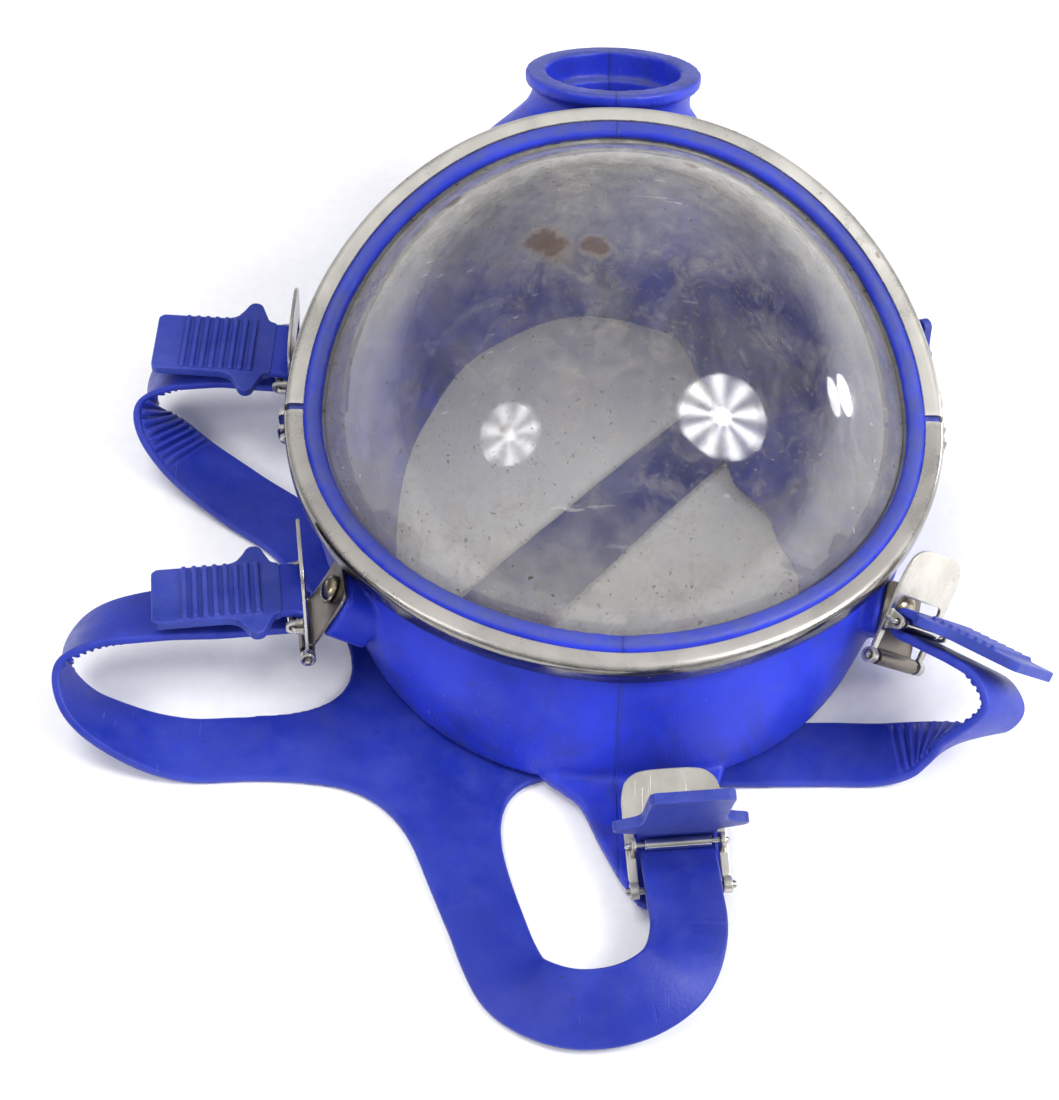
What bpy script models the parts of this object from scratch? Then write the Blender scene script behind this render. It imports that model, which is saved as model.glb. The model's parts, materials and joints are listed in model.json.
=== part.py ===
# Full face respirator: moulded rubber facepiece, domed visor held by a two-part
# clamp, hose port at the chin and a five strap rubber head harness.
# It lies with the face seal down and the visor up: +Z up, +Y towards the chin,
# "left" is -X. Drawn in millimetres and scaled to metres at the end.
import bpy
import bmesh
import math
from mathutils import Vector, Matrix

TO_METRES = 0.001
X = Vector((1.0, 0.0, 0.0))
Y = Vector((0.0, 1.0, 0.0))
Z = Vector((0.0, 0.0, 1.0))
LOCAL = (Vector((0.0, 0.0, 0.0)), X, Y, Z)

# ---- visor ring: the closed line round the visor opening ----
RING_HALF_WIDTH = 85.5
RING_CHIN = 80.5             # half height on the chin side
RING_FOREHEAD = 80.5         # half height on the forehead side
RING_SWEEP = 23.0            # how far the side tips sweep back
RING_SWEEP_POWER = 2.2
RING_CHIN_POWER = 2.08       # superellipse roundness, chin half
RING_FOREHEAD_POWER = 1.90
RING_TILT = math.radians(13.0)
RING_CENTRE = Vector((0.0, 0.0, 64.0))
RING_Y = Vector((0.0, math.cos(RING_TILT), math.sin(RING_TILT)))
RING_NORMAL = Vector((0.0, -math.sin(RING_TILT), math.cos(RING_TILT)))
RING_SEGMENTS = 44

# ---- face seal and side wall ----
SEAL_Z = 3.2                 # underside of the face seal
SEAL_HALF_WIDTH = 74.0
SEAL_FOREHEAD = 81.0         # reach from the outline centre
SEAL_CHIN = 93.0
SEAL_Y = -10.0               # outline centre
SEAL_POWER = 2.15
SEAL_LIP = 1.6               # inset of the lowest outer edge
SEAL_WIDTH = 14.0            # from the outline in to the face opening
WALL = 3.5
WALL_TOP_OUT = 0.7           # where the wall meets the visor ring
WALL_TOP_HEIGHT = -7.6
WALL_STEPS = (0.28, 0.42, 0.56, 0.70, 0.84, 1.0)
SIDE_BULGE = 2.5
CHIN_BULGE = 40.0
CHIN_SPREAD = math.radians(26.0)
CHIN_SKEW = 1.35             # moves the chin bulge up the wall

# Visor seat outside the wall, (outward, up) from the ring line
SEAT_PROFILE = [(WALL_TOP_OUT, -5.9), (4.4, -5.9), (4.4, -0.2), (-0.3, -0.2), (-0.3, 0.9),
                (-2.3, 1.6), (-4.4, 1.0)]
OPENING_PROFILE = [(-5.0, -6.2), (-5.0, 4.0), (-12.0, 12.0)]
GROOVE_SECTION = [(-5.7, -1.4), (-1.0, -1.4), (-1.0, -4.6), (-5.7, -4.6)]

# ---- chin port, its axis running into the mask ----
PORT_TILT = math.radians(25.0)
PORT_AXIS = Vector((0.0, -math.sin(PORT_TILT), -math.cos(PORT_TILT)))
PORT_FRAME = (Vector((0.0, 110.5, 73.0)), X, PORT_AXIS.cross(X), PORT_AXIS)
PORT_SEGMENTS = 36
PORT_R = 25.5                # flange radius
PORT_CHAMFER = 0.7
BORE_R = 19.6                # socket radius at the mouth
BORE_INNER_R = 17.6          # below the ledge
BORE_LEDGE = 8.0
# (along, half width across the mask, half depth)
PORT_PROFILE = [
    (0.0, PORT_R - PORT_CHAMFER, PORT_R - PORT_CHAMFER), (PORT_CHAMFER, PORT_R, PORT_R),
    (3.4, PORT_R, PORT_R), (4.6, 23.6, 23.6), (8.0, 23.4, 22.4), (13.0, 25.5, 22.2),
    (19.0, 29.5, 21.5), (26.0, 33.0, 18.0), (32.0, 29.0, 12.0)]

# ---- visor ----
DOME_HEIGHT = 40.0
DOME_EDGE = math.radians(55.0)
DOME_STEPS = [1.0, 0.91, 0.78, 0.60, 0.38, 0.14]   # fraction of the way out to the ring
LENS_TOP = -1.7              # outer and inner skins, above the ring line
LENS_BOTTOM = -4.3
LENS_OUTER_EDGE = -5.5       # outward offsets of the skins' edges
LENS_INNER_EDGE = -7.6
LENS_FLANGE = -1.3           # outer edge of the flat rim, in the groove

# ---- clamp, (outward, up) from the ring line ----
CLAMP_SECTION = [(0.0, 0.1), (0.0, 0.9), (4.7, 0.9), (5.5, 0.1), (5.5, -6.2), (4.8, -7.0),
                 (1.2, -7.0), (1.2, -6.2), (4.7, -6.2), (4.7, 0.1)]
CLAMP_GAP = 0.012            # radians left open at each end of a half
CLAMP_STEPS = 30
CLAMP_EAR = (1.6, 2.8)       # near and far face of an ear, from the split
SCREW_OUT, SCREW_HEIGHT = 4.9, -10.6
SCREW_HOLE_R = 1.5
# (along, radius) from the clamp split, head first
SCREW_PROFILE = [(-5.1, 1.5), (-4.7, 2.2), (-3.1, 2.2), (-3.1, 1.2), (6.2, 1.2)]

# ---- buckles and straps ----
STUD_HOLE_R = 2.5
STUD_SHANK_R = 2.1
STUD_HEAD_R = 4.0
STUD_HEAD_Z = 1.2
STUD_HEAD_RISE = 2.5
HINGE_X, HINGE_Z = 15.0, 1.2     # from the stud
HINGE_HOLE_R = 1.3
KNUCKLE_R = 2.1
LEVER_REST = math.radians(30.0)
ROLLER_X, ROLLER_Z = 11.0, 3.3   # from the hinge, in lever axes
STRAP_HALF_WIDTH = 9.8
STRAP_HALF_THICK = 1.2
STRAP_WRAP_R = 3.0               # strap centre line round the roller
TAB_END = 40.0


# ---- mesh helpers; a frame is (origin, first axis, second axis, third axis) ----
def finish_smooth(ob):
    me = ob.data
    me.polygons.foreach_set("use_smooth", [True] * len(me.polygons))
    me.set_sharp_from_angle(angle=math.radians(35.0))
    me.update()


def make_object(name, bm, mat=None, smooth=True):
    bmesh.ops.recalc_face_normals(bm, faces=bm.faces)
    bmesh.ops.triangulate(bm, faces=[f for f in bm.faces if len(f.verts) > 4])
    me = bpy.data.meshes.new(name)
    bm.to_mesh(me)
    bm.free()
    ob = bpy.data.objects.new(name, me)
    bpy.context.scene.collection.objects.link(ob)
    if mat is not None:
        me.materials.append(mat)
    if smooth:
        finish_smooth(ob)
    return ob


def tidy(ob):
    bm = bmesh.new()
    bm.from_mesh(ob.data)
    bmesh.ops.remove_doubles(bm, verts=bm.verts, dist=0.0005)
    bmesh.ops.recalc_face_normals(bm, faces=bm.faces)
    bmesh.ops.triangulate(bm, faces=bm.faces)
    bm.to_mesh(ob.data)
    bm.free()


def set_material(ob, mat):
    ob.data.materials.clear()
    ob.data.materials.append(mat)


def boolean(ob, bm, operation):
    tool = make_object("tool", bm, smooth=False)
    modifier = ob.modifiers.new("boolean", 'BOOLEAN')
    modifier.operation = operation
    modifier.solver = 'EXACT'
    modifier.object = tool
    bpy.context.view_layer.update()
    depsgraph = bpy.context.evaluated_depsgraph_get()
    me = bpy.data.meshes.new_from_object(ob.evaluated_get(depsgraph))
    ob.modifiers.clear()
    old = ob.data
    ob.data = me
    bpy.data.meshes.remove(old)
    bpy.data.objects.remove(tool, do_unlink=True)
    tidy(ob)


def join(ob, bm):
    boolean(ob, bm, 'UNION')


def cut(ob, bm):
    boolean(ob, bm, 'DIFFERENCE')


def loft(rings, wrap=False, flat=False):
    """Skin over equal point rings: wrapped round, or capped by one face or by a fan."""
    bm = bmesh.new()
    rows = [[bm.verts.new(p) for p in ring] for ring in rings]
    count = len(rows[0])
    pairs = list(zip(rows[:-1], rows[1:]))
    if wrap:
        pairs.append((rows[-1], rows[0]))
    for low, high in pairs:
        for i in range(count):
            j = (i + 1) % count
            bm.faces.new((low[i], low[j], high[j], high[i]))
    if wrap:
        return bm
    for row in (rows[0], rows[-1]):
        if flat:
            bm.faces.new(row)
            continue
        centre = bm.verts.new(sum((v.co for v in row), Vector()) / count)
        for i in range(count):
            bm.faces.new((row[i], row[(i + 1) % count], centre))
    return bm


def angles(count):
    return [2 * math.pi * i / count for i in range(count)]


def revolve(profile, frame, segments=32):
    """Solid of (along, radius) pairs about the frame's third axis."""
    origin, first, second, axis = frame
    return loft([[origin + axis * along + (first * math.cos(t) + second * math.sin(t)) * radius
                  for t in angles(segments)] for along, radius in profile])


def cylinder(start, end, radius, frame, segments):
    return revolve([(start, radius), (end, radius)], frame, segments)


def prism(outline, bottom, top, frame):
    origin, first, second, normal = frame
    return loft([[origin + first * a + second * b + normal * height for a, b in outline]
                 for height in (bottom, top)], flat=True)


def box(frame, a0, a1, b0, b1, c0, c1):
    return prism([(a0, b0), (a1, b0), (a1, b1), (a0, b1)], c0, c1, frame)


def mirrored(half):
    """Close a half outline by mirroring it in its first axis."""
    return half + [(x, -y) for x, y in reversed(half) if y]


def side_span(side, near, far):
    return sorted((side * near, side * far))


def cross_axis(x=0.0, z=0.0):
    """Frame for revolving about a line parallel to local Y."""
    return (Vector((x, 0.0, z)), X, Z, Y)


def placement(origin, x_axis, y_axis, z_axis):
    turn = Matrix((x_axis, y_axis, z_axis)).transposed()
    return Matrix.Translation(origin) @ turn.to_4x4()


# ---- materials ----
def material(name, colour, roughness, metallic=0.0, alpha=1.0):
    mat = bpy.data.materials.new(name)
    mat.use_nodes = True
    shader = mat.node_tree.nodes["Principled BSDF"]
    shader.inputs["Base Color"].default_value = (*colour, 1.0)
    shader.inputs["Roughness"].default_value = roughness
    shader.inputs["Metallic"].default_value = metallic
    shader.inputs["Alpha"].default_value = alpha
    return mat


def metal(name, colour, roughness):
    return material(name, colour, roughness, metallic=1.0)


# ---- facepiece surfaces; angle 0 is +X and a quarter turn is the chin ----
def superellipse(angle, power):
    c, s = math.cos(angle), math.sin(angle)
    return (math.copysign(abs(c) ** (2 / power), c), math.copysign(abs(s) ** (2 / power), s))


def ring_pt(angle, out, up, fraction=1.0):
    """Point off the ring line; fraction scales it in towards the visor centre."""
    if math.sin(angle) >= 0:
        power, half_height = RING_CHIN_POWER, RING_CHIN
    else:
        power, half_height = RING_FOREHEAD_POWER, RING_FOREHEAD
    x, y = superellipse(angle, power)
    sweep = RING_SWEEP * abs(x) ** RING_SWEEP_POWER * fraction ** RING_SWEEP_POWER
    return (RING_CENTRE + X * ((RING_HALF_WIDTH + out) * x * fraction)
            + RING_Y * ((half_height + out) * y * fraction) + RING_NORMAL * (up - sweep))


def seal_pt(angle, out, z):
    x, y = superellipse(angle, SEAL_POWER)
    reach = SEAL_CHIN if math.sin(angle) >= 0 else SEAL_FOREHEAD
    return Vector(((SEAL_HALF_WIDTH + out) * x, SEAL_Y + (reach + out) * y, z))


def wall_pt(angle, t, out):
    """Wall surface from the seal (t = 0) to the visor ring (t = 1)."""
    bottom = seal_pt(angle, out, SEAL_Z)
    top = ring_pt(angle, WALL_TOP_OUT + out, WALL_TOP_HEIGHT)
    from_chin = (angle - math.pi / 2 + math.pi) % (2 * math.pi) - math.pi
    chin = (CHIN_BULGE * math.exp(-(from_chin / CHIN_SPREAD) ** 2)
            * max(0.0, math.sin(math.pi * t ** CHIN_SKEW)))
    side = SIDE_BULGE * math.sin(math.pi * t)
    outward = Vector((math.cos(angle), math.sin(angle), 0.0))
    return bottom.lerp(top, t) + outward * (side + chin)


def rings_of(point, rows):
    """One ring per row of arguments to a surface function that takes an angle first."""
    return [[point(angle, *row) for angle in angles(RING_SEGMENTS)] for row in rows]


# ---- buckle stations ----
class Station:
    """Axes of one buckle: a stud on the mask, a hinge, and a lever folded back over it."""

    def __init__(self, key, stud, along, normal, mode, rest=LEVER_REST):
        self.key = key
        self.mode = mode
        self.stud = Vector(stud)
        self.along = Vector(along).normalized()
        normal = Vector(normal)
        self.normal = (normal - self.along * normal.dot(self.along)).normalized()
        self.across = self.normal.cross(self.along)
        self.hinge = self.stud + self.along * HINGE_X + self.normal * HINGE_Z
        self.lever_x = -self.along * math.cos(rest) + self.normal * math.sin(rest)
        self.lever_z = self.normal * math.cos(rest) + self.along * math.sin(rest)

    def frame(self):
        return (self.stud, self.along, self.across, self.normal)

    def lever_pt(self, x, z):
        return self.hinge + self.lever_x * x + self.lever_z * z

    def lever_matrix(self, x=0.0, z=0.0):
        return placement(self.lever_pt(x, z), self.lever_x, -self.across, self.lever_z)


# The mode picks the strap's way into the buckle: "out" comes down on top of the
# lever, "front" and "back" pass over the hinge. Only "back" lays its tab along the lever.
STATIONS = [
    Station("forehead", (14.5, -109.0, 6.6), (0.10, -0.995, 0.0), (0, 0, 1), "front",
            math.radians(18.0)),
    Station("temple_left", (-75.0, -45.0, 25.5), (-0.48, -0.23, -0.85), (-0.85, 0, 0.52), "out"),
    Station("temple_right", (76.8, -45.2, 23.3), (-0.18, -0.82, -0.54), (0.74, -0.47, 0.48),
            "out", math.radians(16.0)),
    Station("cheek_left", (-82.5, 40.0, 24.0), (-0.52, 0.0, -0.85), (-0.85, 0.04, 0.52), "out"),
    Station("cheek_right", (80.0, 32.0, 22.0), (-0.22, 0.97, -0.05), (0.94, 0.25, -0.24), "back",
            math.radians(15.0)),
]

# Strap centre line in lever (x, z): lead-in points, degrees round the roller, end point
STRAP_INLETS = {
    "out": ([(8.0, 22.0), (8.0, 12.0), (8.0, 6.5)],
            (180, 215, 250, 285, 320, 355), (14.0, 5.4)),
    "front": ([(-12.0, 6.4), (-3.0, 5.0), (3.0, 3.6), (7.0, 1.7)],
              (250, 280, 315, 355), (14.0, 5.4)),
    "back": ([(-14.0, 4.7), (-3.0, 4.5), (3.0, 3.4), (7.0, 1.7)],
             (250, 290, 330, 10, 45), (12.2, 6.9)),
}

# Each strap from the harness to its buckle: (centre line point, width direction)
STRAP_RUNS = {
    "forehead": [
        ((-25.0, -150.0, 2.6), (-0.80, -0.55, -0.15)),
        ((-12.0, -157.0, 5.4), (-0.25, -0.88, -0.40)),
        ((3.0, -156.0, 7.8), (0.35, -0.80, -0.45)),
        ((13.5, -149.0, 9.6), (0.80, -0.50, -0.30))],
    "temple_left": [
        ((-128.0, -78.0, 4.4), (0.0, -0.97, 0.2)),
        ((-142.0, -71.0, 9.0), (0.0, -0.90, 0.40)),
        ((-146.5, -62.0, 14.5), (0.0, -0.86, 0.46)),
        ((-139.0, -54.5, 18.8), (0.0, -0.93, 0.36)),
        ((-122.0, -50.5, 20.6), (0.0, -0.97, 0.22))],
    "temple_right": [
        ((82.0, -78.0, 4.6), (0.10, 0.93, -0.30)),
        ((91.0, -80.0, 12.5), (0.45, 0.62, -0.62)),
        ((95.0, -82.5, 19.5), (0.62, 0.38, -0.69)),
        ((100.0, -80.5, 27.0), (0.649, 0.314, -0.693)),
        ((97.5, -73.5, 29.4), (0.649, 0.314, -0.693))],
    "cheek_left": [
        ((-106.0, 5.0, 2.8), (-0.60, -0.80, 0.0)),
        ((-124.0, 19.5, 6.4), (-0.30, -0.93, 0.15)),
        ((-133.0, 31.0, 12.4), (-0.05, -0.97, 0.2)),
        ((-127.0, 38.5, 18.0), (0.0, -0.99, 0.1))],
    "cheek_right": [
        ((64.0, 69.5, 5.2), (0.62, -0.72, 0.20)),
        ((66.5, 76.0, 10.0), (0.45, -0.40, 0.75)),
        ((66.8, 77.0, 13.5), (0.20, 0.0, 0.96)),
        ((69.6, 70.6, 17.5), (0.10, 0.1, 0.99))],
}

# Harness arms lying under the mask: (x, y) points outward from the hub centre
HUB_CENTRE = (-48.0, -83.0)
HUB_ARMS = {
    "forehead": [(-44.0, -98.0), (-37.5, -120.0), (-31.4, -136.9)],
    "temple_left": [(-66.0, -80.5), (-86.0, -79.5), (-107.4, -80.5)],
    "temple_right": [(-20.0, -76.0), (25.0, -79.0), (65.4, -78.7)],
    "cheek_left": [(-55.0, -62.0), (-66.0, -34.0), (-85.5, -11.4)],
    "cheek_right": [(-40.0, -50.0), (0.0, 0.0), (57.6, 60.5)],
}
HUB_BOTTOM, HUB_TOP = 0.2, 2.5
HUB_FLARE = 4.5              # extra half width at the hub centre


# ---- paths ----
def smooth_path(points, step):
    """Centripetal Catmull-Rom curve through (position, width direction) pairs."""
    path = []
    last = len(points) - 1
    for i in range(last):
        knots = (points[max(i - 1, 0)], points[i], points[i + 1], points[min(i + 2, last)])
        count = max(2, int(round((knots[2][0] - knots[1][0]).length / step)))
        d1, d2, d3 = (max((knots[k + 1][0] - knots[k][0]).length, 1e-6) ** 0.5
                      for k in range(3))
        spans = []
        for before, start, end, after in zip(*knots):
            chord = end - start
            leave = chord if i == 0 else (
                (start - before) / d1 - (end - before) / (d1 + d2) + chord / d2) * d2
            arrive = chord if i == last - 1 else (
                chord / d2 - (after - start) / (d2 + d3) + (after - end) / d3) * d2
            spans.append((start, leave, end, arrive))
        for j in range(count):
            t = j / count
            t2, t3 = t * t, t * t * t
            path.append(tuple(
                start * (2 * t3 - 3 * t2 + 1) + leave * (t3 - 2 * t2 + t)
                + end * (-2 * t3 + 3 * t2) + arrive * (t3 - t2)
                for start, leave, end, arrive in spans))
    path.append(points[-1])
    return path


def with_tangents(path):
    """(position, width direction, tangent) at every point of a path."""
    last = len(path) - 1
    return [(p, width, (path[min(i + 1, last)][0] - path[max(i - 1, 0)][0]).normalized())
            for i, (p, width) in enumerate(path)]


def ribbon(path, half_width, half_thick):
    rings = []
    for p, width, tangent in with_tangents(path):
        width = (width - tangent * width.dot(tangent)).normalized()
        thick = tangent.cross(width)
        rings.append([p + width * (half_width * a) + thick * (half_thick * b)
                      for a, b in ((-1, -1), (1, -1), (1, 1), (-1, 1))])
    return loft(rings, flat=True)


# ---- facepiece body ----
FOREHEAD_LUG = [(-24, -33), (-14, -22.5), (-2, -19), (8, -15.4), (11.5, -13.8),
                (11.5, 11.4), (8, 12.4), (-6, 13.2), (-14, 17), (-22, 26)]
FOREHEAD_LUG_TIP = [(7, -14.6), (11.0, -14.0), (17.5, -10.9), (19.0, -7.0), (19.0, 6.0),
                    (16.5, 9.6), (11.0, 11.4), (7, 11.8)]
SIDE_LUG = mirrored([(-5, -8.0), (-2.5, -10.5), (6.5, -10.5), (9, -8.0)])
LUG_TOP = -0.3               # clearance under the buckle plate


def outer_shell():
    rings = rings_of(seal_pt, [(-SEAL_LIP, SEAL_Z)])
    rings += rings_of(wall_pt, [(t, 0.0) for t in (0.035, 0.14, *WALL_STEPS)])
    rings += rings_of(ring_pt, SEAT_PROFILE)
    return loft(rings)


def cavity():
    rings = rings_of(seal_pt, [(-SEAL_WIDTH, -4.0), (-SEAL_WIDTH, SEAL_Z + 3.0)])
    rings += rings_of(wall_pt, [(t, -WALL) for t in (0.08, 0.16, *WALL_STEPS)])
    rings += rings_of(ring_pt, OPENING_PROFILE)
    return loft(rings)


def port_neck():
    origin, first, second, axis = PORT_FRAME
    return loft([[origin + axis * along + first * (math.cos(t) * half_width)
                  + second * (math.sin(t) * half_depth) for t in angles(PORT_SEGMENTS)]
                 for along, half_width, half_depth in PORT_PROFILE])


def build_body():
    body = make_object("facepiece_body", outer_shell(), smooth=False)
    join(body, port_neck())
    for station in STATIONS:
        if station.mode == "front":
            join(body, prism(FOREHEAD_LUG, -3.8, LUG_TOP, station.frame()))
            join(body, prism(FOREHEAD_LUG_TIP, -3.7, -1.7, station.frame()))
        else:
            join(body, prism(SIDE_LUG, -12.0, LUG_TOP, station.frame()))
    cut(body, cavity())
    cut(body, loft(rings_of(ring_pt, GROOVE_SECTION), wrap=True))
    bore = [(-3.0, BORE_R), (BORE_LEDGE, BORE_R), (BORE_LEDGE + 0.01, BORE_INNER_R),
            (40.0, BORE_INNER_R)]
    cut(body, revolve(bore, PORT_FRAME, PORT_SEGMENTS))
    for station in STATIONS:
        depth = -5.0 if station.mode == "front" else -4.6
        cut(body, cylinder(depth, 3.0, STUD_HOLE_R, station.frame(), 16))
    tidy(body)
    finish_smooth(body)
    set_material(body, material("facepiece rubber", (0.030, 0.045, 0.46), roughness=0.52))


# ---- visor ----
def dome_pt(angle, fraction, out, up):
    edge = math.cos(DOME_EDGE)
    rise = (math.sqrt(1 - (fraction * math.sin(DOME_EDGE)) ** 2) - edge) / (1 - edge)
    return ring_pt(angle, out, up + DOME_HEIGHT * rise, fraction)


def build_lens():
    rings = rings_of(dome_pt, [(f, LENS_OUTER_EDGE, LENS_TOP) for f in reversed(DOME_STEPS)])
    rings += rings_of(ring_pt, [(LENS_FLANGE, LENS_TOP), (LENS_FLANGE, LENS_BOTTOM)])
    rings += rings_of(dome_pt, [(f, LENS_INNER_EDGE, LENS_BOTTOM) for f in DOME_STEPS])
    glazing = material("visor", (0.62, 0.60, 0.58), roughness=0.12, alpha=0.35)
    make_object("visor_lens", loft(rings), glazing)


# ---- clamp halves, screws and nuts ----
def joint_frame(side):
    """Frame at a clamp split: outward, along the ring towards the chin, normal."""
    origin = ring_pt(0.0 if side > 0 else math.pi, 0.0, 0.0)
    return (origin, X * side, RING_Y, RING_NORMAL)


def screw_frame(side):
    origin, outward, tangent, normal = joint_frame(side)
    centre = origin + outward * SCREW_OUT + normal * SCREW_HEIGHT
    return (centre, outward, normal, tangent)


def build_clamp(name, start, half, mat):
    """Half ring from the start angle; half is +1 on the chin side, -1 on the forehead side."""
    sweep = math.pi - 2 * CLAMP_GAP
    turns = [start + CLAMP_GAP + sweep * i / CLAMP_STEPS for i in range(CLAMP_STEPS + 1)]
    rings = [[ring_pt(t, out, up) for out, up in CLAMP_SECTION] for t in turns]
    clamp = make_object(name, loft(rings, flat=True), smooth=False)
    for side in (1, -1):
        join(clamp, box(joint_frame(side), 1.4, 7.6, *side_span(half, *CLAMP_EAR), -13.6, -6.6))
        cut(clamp, cylinder(-5.0, 5.0, SCREW_HOLE_R, screw_frame(side), 20))
    tidy(clamp)
    finish_smooth(clamp)
    set_material(clamp, mat)


def build_fastener(side, tag):
    frame = screw_frame(side)
    make_object("clamp_screw_" + tag, revolve(SCREW_PROFILE, frame, 24),
                metal("screw " + tag, (0.55, 0.53, 0.50), roughness=0.32))
    nut = make_object("clamp_nut_" + tag, cylinder(3.1, 5.3, 2.5, frame, 6),
                      metal("nut " + tag, (0.50, 0.49, 0.47), roughness=0.36), smooth=False)
    cut(nut, cylinder(0.0, 8.0, SCREW_HOLE_R, frame, 24))
    tidy(nut)


def build_clamps():
    build_clamp("clamp_upper", 0.0, 1,
                metal("clamp upper plate", (0.66, 0.62, 0.56), roughness=0.30))
    build_clamp("clamp_lower", math.pi, -1,
                metal("clamp lower plate", (0.64, 0.60, 0.55), roughness=0.30))
    build_fastener(-1, "left")
    build_fastener(1, "right")


# ---- harness spider ----
def hub_arm(arm):
    path = smooth_path([(Vector((x, y, 0.0)), Z) for x, y in [HUB_CENTRE] + arm], 6.0)
    rings = []
    for i, (p, _, tangent) in enumerate(with_tangents(path)):
        side = Vector((-tangent.y, tangent.x, 0))
        half_width = STRAP_HALF_WIDTH + HUB_FLARE * (1 - i / (len(path) - 1)) ** 2
        rings.append([Vector((p.x, p.y, z)) + side * (sign * half_width) for z, sign in
                      ((HUB_BOTTOM, 1), (HUB_BOTTOM, -1), (HUB_TOP, -1), (HUB_TOP, 1))])
    return loft(rings)


def build_hub():
    first, *others = HUB_ARMS.values()
    hub = make_object("harness_hub", hub_arm(first), smooth=False)
    for arm in others:
        join(hub, hub_arm(arm))
    tidy(hub)
    finish_smooth(hub)
    set_material(hub, material("harness rubber", (0.028, 0.040, 0.42), roughness=0.55))


# ---- buckle parts, drawn once in their own axes ----
BASE_OUTLINE = mirrored([(-6.0, -6.5), (-4.0, -9.0), (14.0, -9.0)])
LEVER_OUTLINE = mirrored([(1.7, -13.2), (24.0, -13.2), (28.0, -12.0), (30.4, -9.0),
                          (31.2, -5.0), (31.4, 0.0)])
LEVER_EYE = (10.8, 13.1)     # near and far face across the lever
LEVER_EAR = (10.85, 12.05)
EAR_SECTION = [(-2.4, 0.1), (2.4, 0.1), (1.7, 4.0), (0.9, 5.1), (-0.9, 5.1), (-1.7, 4.0)]
TAB_OUTLINE = mirrored([
    (5.8, -9.8), (8.0, -10.2), (9.6, -14.0), (10.6, -16.6), (12.4, -17.5), (14.2, -16.8),
    (15.6, -14.0), (17.4, -11.4), (20.0, -10.6), (TAB_END - 1.5, -10.6), (TAB_END, -9.4)])
RIB_SECTION = [(-0.95, 1.2), (-0.55, 2.5), (0.55, 2.5), (0.95, 1.2)]
RIB_COUNT, RIB_START, RIB_PITCH = 7, 12.0, 2.9
RIB_HALF_LENGTH = 10.0
# (along, radius) about the part's cross axis
ROD_PROFILE = [(-14.2, 0.7), (-13.9, 1.0), (13.9, 1.0), (14.2, 0.7)]
WIRE_PROFILE = [(-13.6, 1.3), (-12.3, 1.3), (-12.3, 0.7), (12.3, 0.7), (12.3, 1.3), (13.6, 1.3)]
ROLLER_SECTION = [(-8.5, 1.0), (-8.5, 1.5), (8.5, 1.5), (8.5, 1.0)]


def extrude_across(section, x, start, end):
    """Bar of an (x, z) section running along local Y."""
    return [[Vector((x + dx, y, z)) for dx, z in section] for y in (start, end)]


def make_base():
    """Riveted plate with a rolled knuckle; x to the hinge, z away from the lug."""
    base = make_object("base_proto", prism(BASE_OUTLINE, 0.0, 0.9, LOCAL), smooth=False)
    hinge = cross_axis(HINGE_X, HINGE_Z)
    join(base, cylinder(-9.0, 9.0, KNUCKLE_R, hinge, 12))
    cut(base, cylinder(-10.0, 10.0, HINGE_HOLE_R, hinge, 12))
    cut(base, cylinder(-2.0, 2.0, STUD_HOLE_R, LOCAL, 16))
    tidy(base)
    finish_smooth(base)
    return base


def make_lever():
    """Windowed plate with eyes for the hinge, ears for the roller and a rounded tongue."""
    lever = make_object("lever_proto", prism(LEVER_OUTLINE, -0.5, 0.5, LOCAL), smooth=False)
    cut(lever, box(LOCAL, -5.0, 17.6, -10.7, 10.7, -3.0, 3.0))
    for side in (1, -1):
        join(lever, cylinder(*side_span(side, *LEVER_EYE), KNUCKLE_R, cross_axis(), 12))
        join(lever, loft(extrude_across(EAR_SECTION, ROLLER_X, *side_span(side, *LEVER_EAR))))
    for frame, radius in ((cross_axis(), HINGE_HOLE_R), (cross_axis(ROLLER_X, ROLLER_Z), 1.0)):
        cut(lever, cylinder(-16.0, 16.0, radius, frame, 12))
    tidy(lever)
    finish_smooth(lever)
    return lever


def make_tab():
    """Pull tab: x along the tail, y across, z on the ribbed side."""
    tab = make_object("tab_proto", prism(TAB_OUTLINE, -1.3, 1.5, LOCAL), smooth=False)
    for i in range(RIB_COUNT):
        x = RIB_START + RIB_PITCH * i
        join(tab, loft(extrude_across(RIB_SECTION, x, -RIB_HALF_LENGTH, RIB_HALF_LENGTH)))
    tidy(tab)
    finish_smooth(tab)
    return tab


def place_copy(proto, name, matrix, mat):
    ob = bpy.data.objects.new(name, proto.data.copy())
    set_material(ob, mat)
    bpy.context.scene.collection.objects.link(ob)
    ob.matrix_world = matrix


def place_new(name, bm, matrix, mat):
    make_object(name, bm, mat).matrix_world = matrix


def stud_solid(mode):
    foot = [(-5.0, 3.4), (-4.2, 3.4), (-4.2, STUD_SHANK_R)] if mode == "front" else [
        (-4.3, STUD_SHANK_R)]
    head = [(STUD_HEAD_Z + STUD_HEAD_RISE * math.sin(a), STUD_HEAD_R * math.cos(a))
            for a in map(math.radians, (0, 22, 46, 72))]
    return revolve(foot + [(STUD_HEAD_Z, STUD_SHANK_R)] + head, LOCAL, 16)


def roller_solid():
    return loft([[Vector((radius * math.cos(t), y, radius * math.sin(t))) for t in angles(14)]
                 for y, radius in ROLLER_SECTION], wrap=True)


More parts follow.
